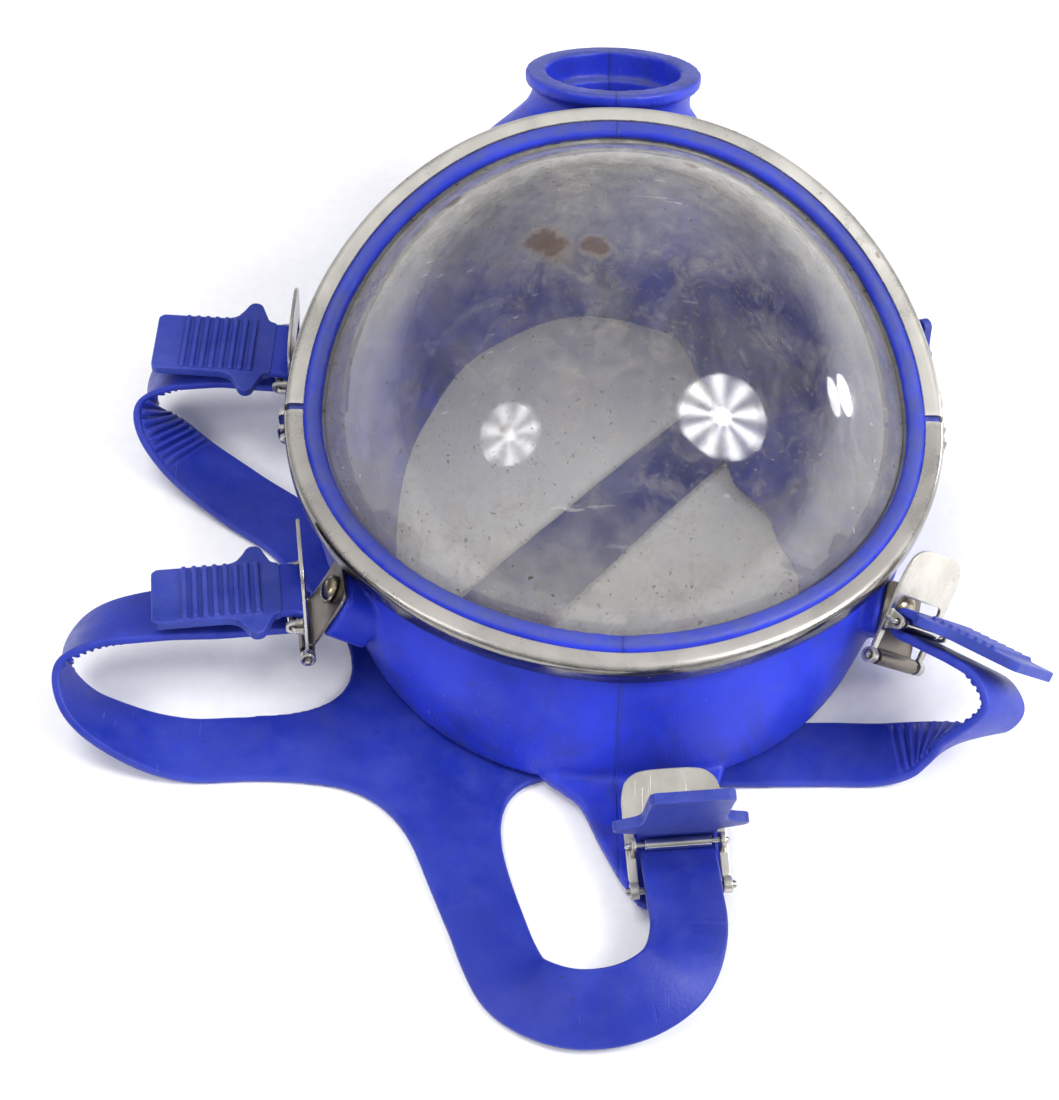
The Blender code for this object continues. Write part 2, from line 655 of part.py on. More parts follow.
def build_buckle(station, shade, base, lever):
    key = station.key
    at_stud = placement(*station.frame())
    at_hinge = station.lever_matrix()
    at_roller = station.lever_matrix(ROLLER_X, ROLLER_Z)
    steel = (0.58 * shade, 0.56 * shade, 0.52 * shade)
    place_new("stud_" + key, stud_solid(station.mode), at_stud,
              metal("stud " + key, (0.52 * shade, 0.46 * shade, 0.36), roughness=0.28))
    place_copy(base, "buckle_base_" + key, at_stud,
               metal("buckle base " + key, steel, roughness=0.3))
    place_copy(lever, "lever_plate_" + key, at_hinge,
               metal("lever plate " + key, (0.6 * shade, 0.57 * shade, 0.52), roughness=0.28))
    place_new("hinge_rod_" + key, revolve(ROD_PROFILE, cross_axis(), 12), at_hinge,
              metal("hinge rod " + key, steel, roughness=0.3))
    place_new("roller_wire_" + key, revolve(WIRE_PROFILE, cross_axis(), 12), at_roller,
              metal("roller wire " + key, steel, roughness=0.34))
    place_new("roller_" + key, roller_solid(), at_roller,
              metal("roller " + key, (0.66 * shade, 0.65 * shade, 0.62), roughness=0.22))


def build_pull_tab(station, shade, tab):
    if station.mode == "back":
        x, z = -station.lever_x, station.lever_z
        origin = station.lever_pt(17.0, 8.8)
    else:
        x, z = station.lever_z, station.lever_x
        origin = station.lever_pt(14.0, 0.0)
    rubber = material("pull tab " + station.key, (0.030, 0.045 * shade, 0.45 * shade),
                      roughness=0.55)
    place_copy(tab, "pull_tab_" + station.key, placement(origin, x, z.cross(x), z), rubber)


def strap_inlet(station):
    lead, degrees, end = STRAP_INLETS[station.mode]
    arc = [(ROLLER_X + STRAP_WRAP_R * math.cos(a), ROLLER_Z + STRAP_WRAP_R * math.sin(a))
           for a in map(math.radians, degrees)]
    return [(station.lever_pt(x, z), station.across) for x, z in lead + arc + [end]]


def build_strap(station, shade):
    key = station.key
    run = [(Vector(p), Vector(width)) for p, width in STRAP_RUNS[key]]
    # start flat, in line with the end of the harness arm
    (x0, y0), (x1, y1) = HUB_ARMS[key][-2:]
    tangent = Vector((x1 - x0, y1 - y0, 0.0)).normalized()
    side = Vector((-tangent.y, tangent.x, 0.0))
    if side.dot(run[0][1]) <= 0:
        side = -side
    foot = [(Vector((x1, y1, 1.6)) + tangent * d, side) for d in (0.8, 6.0)]
    path = smooth_path(foot + run + strap_inlet(station), 5.0)
    make_object("strap_arm_" + key, ribbon(path, STRAP_HALF_WIDTH, STRAP_HALF_THICK),
                material("strap arm " + key, (0.028, 0.042 * shade, 0.43 * shade),
                         roughness=0.55))


def build_stations():
    base, lever, tab = make_base(), make_lever(), make_tab()
    for k, station in enumerate(STATIONS):
        shade = 1.0 - 0.03 * k       # each station a little darker than the last
        build_buckle(station, shade, base, lever)
        build_pull_tab(station, shade, tab)
        build_strap(station, shade)
    for proto in (base, lever, tab):
        bpy.data.objects.remove(proto, do_unlink=True)


def scale_and_centre():
    """To metres, with the world origin at the bottom centre of the overall box."""
    bpy.context.view_layer.update()
    corners = [ob.matrix_world @ v.co for ob in bpy.data.objects for v in ob.data.vertices]
    low = [min(c[i] for c in corners) for i in range(3)]
    high = [max(c[i] for c in corners) for i in range(3)]
    shift = Vector((-(low[0] + high[0]) / 2, -(low[1] + high[1]) / 2, -low[2]))
    for ob in bpy.data.objects:
        ob.data.transform(Matrix.Scale(TO_METRES, 4))
        ob.location = (ob.location + shift) * TO_METRES
    bpy.context.view_layer.update()


for old_object in list(bpy.data.objects):
    bpy.data.objects.remove(old_object, do_unlink=True)
build_body()
build_lens()
build_clamps()
build_hub()
build_stations()
scale_and_centre()
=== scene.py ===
# Full face respirator lying on its face opening, with a five-armed rubber harness.
# Shapes are drawn in millimetres in a drawing frame, then placed in metres:
# +y runs to the chin, -y to the forehead, z is up, and the "_left" parts are at -x.
import bpy
import bmesh
import json
import math
from functools import cached_property
from mathutils import Vector, Matrix
from mathutils.bvhtree import BVHTree

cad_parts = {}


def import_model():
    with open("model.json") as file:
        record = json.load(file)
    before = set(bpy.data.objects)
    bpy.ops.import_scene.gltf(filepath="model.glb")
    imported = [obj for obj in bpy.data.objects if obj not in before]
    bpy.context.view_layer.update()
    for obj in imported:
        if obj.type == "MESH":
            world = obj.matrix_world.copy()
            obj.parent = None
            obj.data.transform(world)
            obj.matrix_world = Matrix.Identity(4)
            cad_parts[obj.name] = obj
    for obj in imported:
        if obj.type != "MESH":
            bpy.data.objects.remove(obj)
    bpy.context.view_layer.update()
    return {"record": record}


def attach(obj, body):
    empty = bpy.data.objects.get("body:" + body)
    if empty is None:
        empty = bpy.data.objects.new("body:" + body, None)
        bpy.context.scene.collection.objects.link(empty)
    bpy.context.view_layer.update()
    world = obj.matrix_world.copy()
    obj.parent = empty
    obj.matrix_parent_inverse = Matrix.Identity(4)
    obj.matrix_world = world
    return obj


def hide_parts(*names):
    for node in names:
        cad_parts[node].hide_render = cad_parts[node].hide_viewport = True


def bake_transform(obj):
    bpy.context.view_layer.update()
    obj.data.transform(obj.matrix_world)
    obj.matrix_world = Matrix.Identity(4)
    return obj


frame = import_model()

# ---------------------------------------------------------------- driving sizes, mm
# Visor ring: a superellipse tilted about x, dropping towards its sides
RING_HALF_X, RING_HALF_Y, RING_HEIGHT = 85.5, 80.5, 64.0
RING_POWER_CHIN, RING_POWER_BROW = 2.08, 1.90
RING_DROP, RING_DROP_POWER = 23.0, 2.2
RING_TILT = math.radians(13.0)
# Outer rim round the face opening
RIM_Z, RIM_Y, RIM_HALF_X, RIM_BROW, RIM_CHIN, RIM_POWER = 3.2, -10.0, 74.0, 81.0, 93.0, 2.15
# Wall between rim and ring
WALL = 3.5
WALL_TOP_OUT, WALL_TOP_DROP = 0.7, -7.6
SIDE_BULGE, CHIN_BULGE, CHIN_SPREAD = 2.5, 40.0, math.radians(26.0)
# Round port over the chin
PORT_Y, PORT_Z, PORT_TILT, PORT_R = 110.5, 73.0, math.radians(25.0), 25.5
BORE_R, BORE_R_INNER, BORE_STEP = 19.6, 17.6, 8.0
# Visor dome
DOME_HEIGHT, DOME_EDGE, DOME_DROP_POWER = 40.0, math.radians(55.0), 2.2
# Straps: half width, half thickness, rounding of the long edges, pitch of the cross ribs
STRAP_HALF, STRAP_HALF_T, STRAP_ROUND, RIB_PITCH = 9.8, 1.2, 0.75, 2.5
# Buckles: hinge place from the stud, roller place from the hinge
HINGE_ALONG, HINGE_UP = 15.0, 1.2
ROLLER_ALONG, ROLLER_UP, WRAP_R = 11.0, 3.3, 3.0
TAB_END = 40.0
# Clamp screw place from the side of the ring
SCREW_OUT, SCREW_UP = 4.9, -10.6

RING_CENTRE = Vector((0.0, 0.0, RING_HEIGHT))
EX = Vector((1.0, 0.0, 0.0))
EY = Vector((0.0, math.cos(RING_TILT), math.sin(RING_TILT)))
EN = Vector((0.0, -math.sin(RING_TILT), math.cos(RING_TILT)))
Y_AXIS, Z_AXIS = Vector((0, 1, 0)), Vector((0, 0, 1))
FOREHEAD_STUD = (14.5, -109.0, 6.6)


def joint_pos(name):
    joints = frame["record"]["behaviour"]["joints"]
    joints = joints if isinstance(joints, list) else list(joints.values())
    for joint in joints:
        if joint.get("name") == name:
            return Vector(joint["pos_m"])
    raise KeyError(name)


# the drawing frame's origin in metres, found from the forehead stud
SHIFT = joint_pos("swivel_forehead") - Vector(FOREHEAD_STUD) * 0.001
TO_WORLD = Matrix.Translation(SHIFT) @ Matrix.Scale(0.001, 4)


def world(point):
    return Vector(point) * 0.001 + SHIFT


def to_world(piece):
    piece.data.transform(TO_WORLD)


# ---------------------------------------------------------------- mesh helpers
# A placing frame is (origin, first axis, second axis, long axis).
LOCAL = (Vector((0, 0, 0)), EX, Y_AXIS, Z_AXIS)


def y_frame(x=0, z=0):
    """Placing frame whose long axis is y."""
    return (Vector((x, 0, z)), EX, Z_AXIS, Y_AXIS)


def angles(count):
    return [2 * math.pi * i / count for i in range(count)]


def tangent(points, i):
    return (points[min(i + 1, len(points) - 1)] - points[max(i - 1, 0)]).normalized()


def revolve(profile, placing, segments=48):
    """Rings of a turned piece; profile rows are (place along the axis, radius)."""
    origin, first, second, axis = placing
    return [[origin + axis * along + (first * math.cos(t) + second * math.sin(t)) * radius
             for t in angles(segments)] for along, radius in profile]


def prism(outline, start, end, placing):
    origin, first, second, axis = placing
    return [[origin + first * x + second * y + axis * z for x, y in outline]
            for z in (start, end)]


def rectangle(x0, x1, y0, y1):
    return [(x0, y0), (x1, y0), (x1, y1), (x0, y1)]


def mirrored(half):
    return [(x, -y) for x, y in reversed(half)]


def quadratic(start, control, end, steps):
    return [start * (1 - t) ** 2 + control * 2 * t * (1 - t) + end * t * t
            for t in (k / steps for k in range(steps + 1))]


def fillet(points, radius, steps=5):
    """Rounds the corners of a closed 2D outline."""
    out = []
    for i, point in enumerate(points):
        corner = Vector(point)
        before = Vector(points[i - 1]) - corner
        after = Vector(points[(i + 1) % len(points)]) - corner
        reach = min(radius, before.length * 0.45, after.length * 0.45)
        start, end = corner + before.normalized() * reach, corner + after.normalized() * reach
        out += [(p.x, p.y) for p in quadratic(start, corner, end, steps)]
    return out


def shade(piece, angle=35.0):
    mesh = piece.data
    mesh.polygons.foreach_set("use_smooth", [True] * len(mesh.polygons))
    mesh.set_sharp_from_angle(angle=math.radians(angle))
    mesh.update()


def new_object(name, build):
    bmesh.ops.recalc_face_normals(build, faces=build.faces)
    mesh = bpy.data.meshes.new(name)
    build.to_mesh(mesh)
    build.free()
    piece = bpy.data.objects.new(name, mesh)
    bpy.context.scene.collection.objects.link(piece)
    return piece


def add_loft(build, rings, wrap, flat):
    """Skins a run of rings. Ends close with one face if flat, else with a fan."""
    rows = [[build.verts.new(p) for p in ring] for ring in rings]
    count = len(rows[0])
    pairs = list(zip(rows[:-1], rows[1:]))
    if wrap:
        pairs.append((rows[-1], rows[0]))
    for low, high in pairs:
        for i in range(count):
            j = (i + 1) % count
            build.faces.new((low[i], low[j], high[j], high[i]))
    if wrap:
        return
    for ring in (rows[0], rows[-1]):
        if flat:
            build.faces.new(ring)
            continue
        centre = build.verts.new(sum((v.co for v in ring), Vector()) / count)
        for i in range(count):
            build.faces.new((ring[i], ring[(i + 1) % count], centre))


def solid(name, *lofts, wrap=False, flat=False, shade_angle=None):
    build = bmesh.new()
    for rings in lofts:
        add_loft(build, rings, wrap, flat)
    piece = new_object(name, build)
    if shade_angle:
        shade(piece, shade_angle)
    return piece


def apply_modifiers(piece):
    bpy.context.view_layer.update()
    graph = bpy.context.evaluated_depsgraph_get()
    mesh = bpy.data.meshes.new_from_object(piece.evaluated_get(graph))
    piece.modifiers.clear()
    old = piece.data
    piece.data = mesh
    bpy.data.meshes.remove(old)


def tidy(piece):
    build = bmesh.new()
    build.from_mesh(piece.data)
    bmesh.ops.remove_doubles(build, verts=build.verts, dist=0.0005)
    bmesh.ops.recalc_face_normals(build, faces=build.faces)
    bmesh.ops.triangulate(build, faces=build.faces)
    build.to_mesh(piece.data)
    build.free()


def boolean(piece, operation, rings, **kind):
    tool = solid("tool", rings, **kind)
    modifier = piece.modifiers.new("cut", 'BOOLEAN')
    modifier.operation = operation
    modifier.solver = 'EXACT'
    modifier.object = tool
    apply_modifiers(piece)
    bpy.data.objects.remove(tool, do_unlink=True)
    tidy(piece)


def soften(piece, voxel, passes):
    """Rounds every edge of a moulded or pressed piece and fills its inside corners."""
    remesh = piece.modifiers.new("vox", 'REMESH')
    remesh.mode = 'VOXEL'
    remesh.voxel_size = voxel
    remesh.use_smooth_shade = True
    smooth = piece.modifiers.new("smooth", 'SMOOTH')
    smooth.factor = 0.5
    smooth.iterations = passes
    apply_modifiers(piece)
    shade(piece, 60.0)


def install(piece, material, body, node, slot):
    piece.data.materials.clear()
    piece.data.materials.append(material)
    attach(piece, body)
    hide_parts(node)


# ---------------------------------------------------------------- facepiece surfaces
def superellipse(angle, power):
    c, s = math.cos(angle), math.sin(angle)
    return (math.copysign(abs(c) ** (2 / power), c), math.copysign(abs(s) ** (2 / power), s))


def ring_shape(angle):
    return superellipse(angle, RING_POWER_CHIN if math.sin(angle) >= 0 else RING_POWER_BROW)


def ring_point(angle, out, rise):
    x, y = ring_shape(angle)
    return (RING_CENTRE + EX * ((RING_HALF_X + out) * x) + EY * ((RING_HALF_Y + out) * y)
            + EN * (rise - RING_DROP * abs(x) ** RING_DROP_POWER))


def ring_rings(around, section):
    """Rings that follow the visor ring; section rows are (out, rise)."""
    return [[ring_point(t, out, rise) for t in around] for out, rise in section]


def dome_point(angle, rho, out, rise):
    """Point on the visor; rho is 0 at the crown and 1 at the edge."""
    x, y = ring_shape(angle)
    edge = math.cos(DOME_EDGE)
    lift = (math.sqrt(1 - (rho * math.sin(DOME_EDGE)) ** 2) - edge) / (1 - edge)
    drop = RING_DROP * abs(x) ** RING_DROP_POWER * rho ** DOME_DROP_POWER
    return (RING_CENTRE + EX * ((RING_HALF_X + out) * x * rho)
            + EY * ((RING_HALF_Y + out) * y * rho) + EN * (rise + DOME_HEIGHT * lift - drop))


def rim_point(angle, out, z):
    x, y = superellipse(angle, RIM_POWER)
    half_y = RIM_CHIN if math.sin(angle) >= 0 else RIM_BROW
    return Vector(((RIM_HALF_X + out) * x, RIM_Y + (half_y + out) * y, z))


def wall_point(angle, t, out):
    """Point on the wall, from the rim at t = 0 to the ring at t = 1."""
    low = rim_point(angle, out, RIM_Z)
    high = ring_point(angle, WALL_TOP_OUT + out, WALL_TOP_DROP)
    from_chin = (angle - math.pi / 2 + math.pi) % (2 * math.pi) - math.pi
    chin = (CHIN_BULGE * math.exp(-(from_chin / CHIN_SPREAD) ** 2)
            * max(0.0, math.sin(math.pi * t ** 1.35)))
    side = SIDE_BULGE * math.sin(math.pi * t)
    outward = Vector((math.cos(angle), math.sin(angle), 0.0))
    return low.lerp(high, t) + outward * (side + chin)


# ---------------------------------------------------------------- buckle stations
def axes(x, y, z):
    return Matrix((x, y, z)).transposed()


class Station:
    """A buckle: its stud, the axes of its base and the axes of its resting lever."""

    def __init__(self, key, stud, along, normal, mode, rest):
        self.key = key
        self.mode = mode
        self.stud = Vector(stud)
        self.along = Vector(along).normalized()
        normal = Vector(normal)
        self.normal = (normal - self.along * normal.dot(self.along)).normalized()
        self.across = self.normal.cross(self.along)
        rest = math.radians(rest)
        self.hinge = self.stud + self.along * HINGE_ALONG + self.normal * HINGE_UP
        self.lever_along = -self.along * math.cos(rest) + self.normal * math.sin(rest)
        self.lever_up = self.normal * math.cos(rest) + self.along * math.sin(rest)

    def lever(self, along, rise):
        return self.hinge + self.lever_along * along + self.lever_up * rise

    def placing(self):
        return (self.stud, self.along, self.across, self.normal)

    def seats(self):
        """World matrices of the places where buckle parts sit."""
        def seat(x, y, z, origin):
            return (Matrix.Translation(world(origin)) @ axes(x, y, z).to_4x4()
                    @ Matrix.Scale(0.001, 4))

        def lever_seat(along, rise):
            return seat(self.lever_along, -self.across, self.lever_up, self.lever(along, rise))

        if self.mode == "back":
            x, z, origin = -self.lever_along, self.lever_up, self.lever(17.0, 8.8)
        else:
            x, z, origin = self.lever_up, self.lever_along, self.lever(14.0, 0.0)
        return {"base": seat(self.along, self.across, self.normal, self.stud),
                "lever": lever_seat(0.0, 0.0),
                "roller": lever_seat(ROLLER_ALONG, ROLLER_UP),
                "tab": seat(x, z.cross(x), z, origin)}


# key, stud, direction from stud to hinge, outward normal, strap mode, lever rest in degrees.
# The tab lies back over the lever in mode "back" and stands off it in the other modes.
STATIONS = [Station(*row) for row in (
    ("forehead", FOREHEAD_STUD, (0.10, -0.995, 0.0), (0, 0, 1), "front", 18.0),
    ("temple_left", (-75.0, -45.0, 25.5), (-0.48, -0.23, -0.85), (-0.85, 0, 0.52), "out", 30.0),
    ("temple_right", (76.8, -45.2, 23.3), (-0.18, -0.82, -0.54), (0.74, -0.47, 0.48), "out", 16.0),
    ("cheek_left", (-82.5, 40.0, 24.0), (-0.52, 0.0, -0.85), (-0.85, 0.04, 0.52), "out", 30.0),
    ("cheek_right", (80.0, 32.0, 22.0), (-0.22, 0.97, -0.05), (0.94, 0.25, -0.24), "back", 15.0),
)]

# Strap through the buckle, as (along, rise) on the lever:
# points leading in, bearings in degrees round the roller, last point
INLETS = {
    "out": ([(8.0, 22.0), (8.0, 12.0), (8.0, 6.5)], (180, 215, 250, 285, 320, 355), (14.0, 5.4)),
    "front": ([(-12.0, 6.4), (-3.0, 5.0), (3.0, 3.6), (7.0, 1.7)], (250, 280, 315, 355),
              (14.0, 5.4)),
    "back": ([(-14.0, 4.7), (-3.0, 4.5), (3.0, 3.4), (7.0, 1.7)], (250, 290, 330, 10, 45),
             (12.2, 6.9)),
}
# Strap tail up to the tab on the lever: its points, then two more places on the lever
TAIL_STANDING = ([(14.0, 5.3), (14.0, 6.2), (14.0, 8.0), (14.0, 10.5)], (14.0, 5.5), (14.0, 7.2))
TAIL_BACK = ([(12.2, 6.9), (11.2, 8.2), (9.0, 8.8), (5.0, 8.85)], (12.2, 6.9), (10.0, 8.7))

# Free strap loops: (centre point, width direction) from the hub arm to the buckle
STRAP_RUN = {
    "forehead": [
        ((-25.0, -150.0, 2.6), (-0.80, -0.55, -0.15)), ((-12.0, -157.0, 5.4), (-0.25, -0.88, -0.40)),
        ((3.0, -156.0, 7.8), (0.35, -0.80, -0.45)), ((13.5, -149.0, 9.6), (0.80, -0.50, -0.30))],
    "temple_left": [
        ((-128.0, -78.0, 4.4), (0.0, -0.97, 0.2)), ((-142.0, -71.0, 9.0), (0.0, -0.90, 0.40)),
        ((-146.5, -62.0, 14.5), (0.0, -0.86, 0.46)), ((-139.0, -54.5, 18.8), (0.0, -0.93, 0.36)),
        ((-122.0, -50.5, 20.6), (0.0, -0.97, 0.22))],
    "temple_right": [
        ((82.0, -78.0, 4.6), (0.10, 0.93, -0.30)), ((91.0, -80.0, 12.5), (0.45, 0.62, -0.62)),
        ((95.0, -82.5, 19.5), (0.62, 0.38, -0.69)), ((100.0, -80.5, 27.0), (0.649, 0.314, -0.693)),
        ((97.5, -73.5, 29.4), (0.649, 0.314, -0.693))],
    "cheek_left": [
        ((-106.0, 5.0, 2.8), (-0.60, -0.80, 0.0)), ((-124.0, 19.5, 6.4), (-0.30, -0.93, 0.15)),
        ((-133.0, 31.0, 12.4), (-0.05, -0.97, 0.2)), ((-127.0, 38.5, 18.0), (0.0, -0.99, 0.1))],
    "cheek_right": [
        ((64.0, 69.5, 5.2), (0.62, -0.72, 0.20)), ((66.5, 76.0, 10.0), (0.45, -0.40, 0.75)),
        ((66.8, 77.0, 13.5), (0.20, 0.0, 0.96)), ((69.6, 70.6, 17.5), (0.10, 0.1, 0.99))],
}
# Hub arms: (x, y) of the centre line from the hub centre outwards
HUB_CENTRE = (-48.0, -83.0)
HUB_ARMS = {
    "forehead": [(-44.0, -98.0), (-37.5, -120.0), (-31.4, -136.9)],
    "temple_left": [(-66.0, -80.5), (-86.0, -79.5), (-107.4, -80.5)],
    "temple_right": [(-20.0, -76.0), (25.0, -79.0), (65.4, -78.7)],
    "cheek_left": [(-55.0, -62.0), (-66.0, -34.0), (-85.5, -11.4)],
    "cheek_right": [(-40.0, -50.0), (0.0, 0.0), (57.6, 60.5)],
}


# ---------------------------------------------------------------- shader graphs
class Signal:
    """A shader output; arithmetic on it adds math nodes."""

    def __init__(self, graph, socket):
        self.graph = graph
        self.socket = socket

    def __add__(self, other):
        return self.graph.math('ADD', self, other)

    def __radd__(self, other):
        return self.graph.math('ADD', other, self)

    def __sub__(self, other):
        return self.graph.math('SUBTRACT', self, other)

    def __rsub__(self, other):
        return self.graph.math('SUBTRACT', other, self)

    def __mul__(self, other):
        return self.graph.math('MULTIPLY', self, other)

    def __pow__(self, other):
        return self.graph.math('POWER', self, other)

    def clamped(self):
        """Clamps the math node just made to 0..1."""
        self.socket.node.use_clamp = True
        return self

    def ramp(self, over, to=(0.0, 1.0)):
        """Maps the range `over` on to the range `to`, clamped."""
        return self.graph.add("MapRange", props={"clamp": True}, Value=self, From_Min=over[0],
                              From_Max=over[1], To_Min=to[0], To_Max=to[1])


class Graph:
    """Adds nodes to a shader tree."""

    def __init__(self, tree):
        self.tree = tree

    def put(self, socket, value):
        if isinstance(value, Signal):
            self.tree.links.new(value.socket, socket)
        elif hasattr(socket.default_value, "__len__"):
            value = tuple(value)
            if len(value) < len(socket.default_value):
                value += (1.0,)
            socket.default_value = value
        else:
            socket.default_value = value

    def add(self, kind, out=0, props=None, **inputs):
        """Adds a node. Inputs go by name, or by index as _0, _1 and so on."""
        node = self.tree.nodes.new("ShaderNode" + kind)
        for key, value in (props or {}).items():
            setattr(node, key, value)
        for key, value in inputs.items():
            name = key.replace("_", " ")
            self.put(node.inputs[name] if name in node.inputs else node.inputs[int(key[1:])],
                     value)
        return Signal(self, node.outputs[out])

    def find(self, kind):
        return next(node for node in self.tree.nodes if node.type == kind)

    def math(self, operation, first, second=0.0):
        return self.add("Math", props={"operation": operation}, _0=first, _1=second)

    def mix(self, amount, under, over):
        return self.add("Mix", out=2, props={"data_type": 'RGBA'}, _0=amount, _6=under, _7=over)

    def mix_shader(self, amount, under, over):
        return self.add("MixShader", _0=amount, _1=under, _2=over)

    @cached_property
    def position(self):
        return self.add("TexCoord", out="Object")

    @cached_property
    def geometry_node(self):
        return self.tree.nodes.new("ShaderNodeNewGeometry")

    def geometry(self, output):
        return Signal(self, self.geometry_node.outputs[output])

    def up(self):
        """Upward part of the surface normal."""
        return self.add("SeparateXYZ", out="Z", Vector=self.geometry("Normal"))

    def attribute(self, name):
        props = {"attribute_name": name, "attribute_type": 'GEOMETRY'}
        return self.add("Attribute", out=2, props=props)

    def coords(self, seed, stretch=(1, 1, 1)):
        return self.add("Mapping", Vector=self.position, Scale=stretch,
                        Location=(seed * 0.37, seed * 0.71, seed * 0.13))

    def noise(self, coords, scale, detail, rough=0.55, distort=0.0):
        return self.add("TexNoise", Vector=coords, Scale=scale, Detail=detail, Roughness=rough,
                        Distortion=distort)

    def mask(self, seed, over, to=(0.0, 1.0), stretch=(1, 1, 1), **noise):
        """Noise of its own seed, ramped into a mask."""
        return self.noise(self.coords(seed, stretch), **noise).ramp(over, to)

    def bump(self, height, distance, strength):
        return self.add("Bump", Height=height, Distance=distance, Strength=strength)


class MaterialGraph(Graph):
    def __init__(self, name):
        self.material = bpy.data.materials.new(name)
        self.material.use_nodes = True
        super().__init__(self.material.node_tree)
        self.tree.nodes.clear()
        self.output = self.tree.nodes.new("ShaderNodeOutputMaterial")

    def done(self, shader):
        self.put(self.output.inputs["Surface"], shader)
        return self.material


# ---------------------------------------------------------------- rubber
# In all materials the layers go on in order, and a plain factor on a mask is that
# layer's strength. Factors inside a sum are the shares of the noises in it.
HARNESS_DEEP, HARNESS_LIT = (0.005, 0.015, 0.22), (0.011, 0.030, 0.39)
FACEPIECE_DEEP, FACEPIECE_LIT = (0.007, 0.022, 0.38), (0.012, 0.034, 0.66)
TAB_DEEP, TAB_LIT = (0.012, 0.024, 0.20), (0.020, 0.042, 0.34)
RUBBER_BLOOM = (0.085, 0.100, 0.30)
RUBBER_WORN = (0.085, 0.115, 0.66)
# hollows: partly grime, partly painted shade
RUBBER_HOLLOW_SHADE_AND_GRIME = (0.020, 0.022, 0.085)
RUBBER_SPECK = (0.020, 0.018, 0.030)
RUBBER_SMEAR = (0.036, 0.034, 0.085)
RUBBER_CLOUD = (0.016, 0.022, 0.20)
RUBBER_SCRATCH = (0.16, 0.18, 0.52)
TOP_GREY = (0.062, 0.075, 0.205)
WALL_DARK_PATCHES = (0.020, 0.022, 0.110)
WALL_RUBBED = (0.055, 0.085, 0.46)
SEAM_DARK = (0.012, 0.018, 0.16)


def rubber(name, seed, dust, deep=HARNESS_DEEP, lit=HARNESS_LIT, seam=False):
    g = MaterialGraph(name)
    coords = g.coords(seed)
    broad = g.noise(coords, scale=16.0, detail=5.0, rough=0.6, distort=0.4)
    middle = g.noise(coords, scale=130.0, detail=6.0, rough=0.62)
    fine = g.noise(coords, scale=1100.0, detail=3.0, rough=0.6)
    colour = g.mix(broad.ramp(over=(0.35, 0.68)), deep, lit)
    # bloom and dust lie thicker on faces turned up
    lie = g.up().ramp(over=(-0.2, 0.95), to=(0.35, 1.0))
    bloom = (broad * 0.55 + middle * 0.45).ramp(over=(0.42, 0.66)) * lie
    colour = g.mix((bloom * dust).clamped(), colour, RUBBER_BLOOM)
    # edges rubbed paler, except at strap joins; hollows darkened, partly grime and partly painted
    # shade
    edge = g.geometry("Pointiness")
    join = g.attribute("joinend")
    worn = edge.ramp(over=(0.515, 0.60), to=(0.0, 0.40)) * (1.0 - join).clamped()
    colour = g.mix(worn, colour, RUBBER_WORN)
    colour = g.mix(edge.ramp(over=(0.485, 0.43), to=(0.0, 0.55)), colour, RUBBER_HOLLOW_SHADE_AND_GRIME)
    # specks, smears and clouds of dirt, and pale scratches
    speck = g.mask(seed + 3, scale=620.0, detail=2.0, rough=0.5, over=(0.685, 0.73))
    zone = g.mask(seed + 5, scale=28.0, detail=4.0, rough=0.6, over=(0.47, 0.66))
    colour = g.mix(speck * zone * 0.75, colour, RUBBER_SPECK)
    smear = g.mask(seed + 7, stretch=(1.0, 0.32, 0.8), scale=75.0, detail=7.0, rough=0.7,
                   distort=1.2, over=(0.60, 0.78))
    colour = g.mix(smear * 0.55, colour, RUBBER_SMEAR)
    cloud = g.mask(seed + 13, scale=52.0, detail=6.0, rough=0.65, distort=0.6, over=(0.50, 0.70))
    colour = g.mix(cloud * 0.34, colour, RUBBER_CLOUD)
    scratch = g.mask(seed + 9, stretch=(1.0, 0.05, 0.35), scale=900.0, detail=2.0, rough=0.5,
                     over=(0.70, 0.74))
    colour = g.mix(scratch * zone * 0.35, colour, RUBBER_SCRATCH)
    rough = (middle * 0.5 + bloom * 0.4).ramp(over=(0.15, 0.60), to=(0.33, 0.58))
    height = fine * 0.5 + middle * 0.8 - scratch * 0.35
    if seam:
        colour, height = facepiece_layers(g, colour, height, middle)
    normal = g.bump(height, distance=0.00022, strength=0.80)
    return g.done(g.add("BsdfPrincipled", Base_Color=colour, Roughness=rough, Normal=normal,
                        Specular_IOR_Level=0.36, Sheen_Weight=0.03, Sheen_Roughness=0.45,
                        Sheen_Tint=(0.62, 0.64, 0.95)))


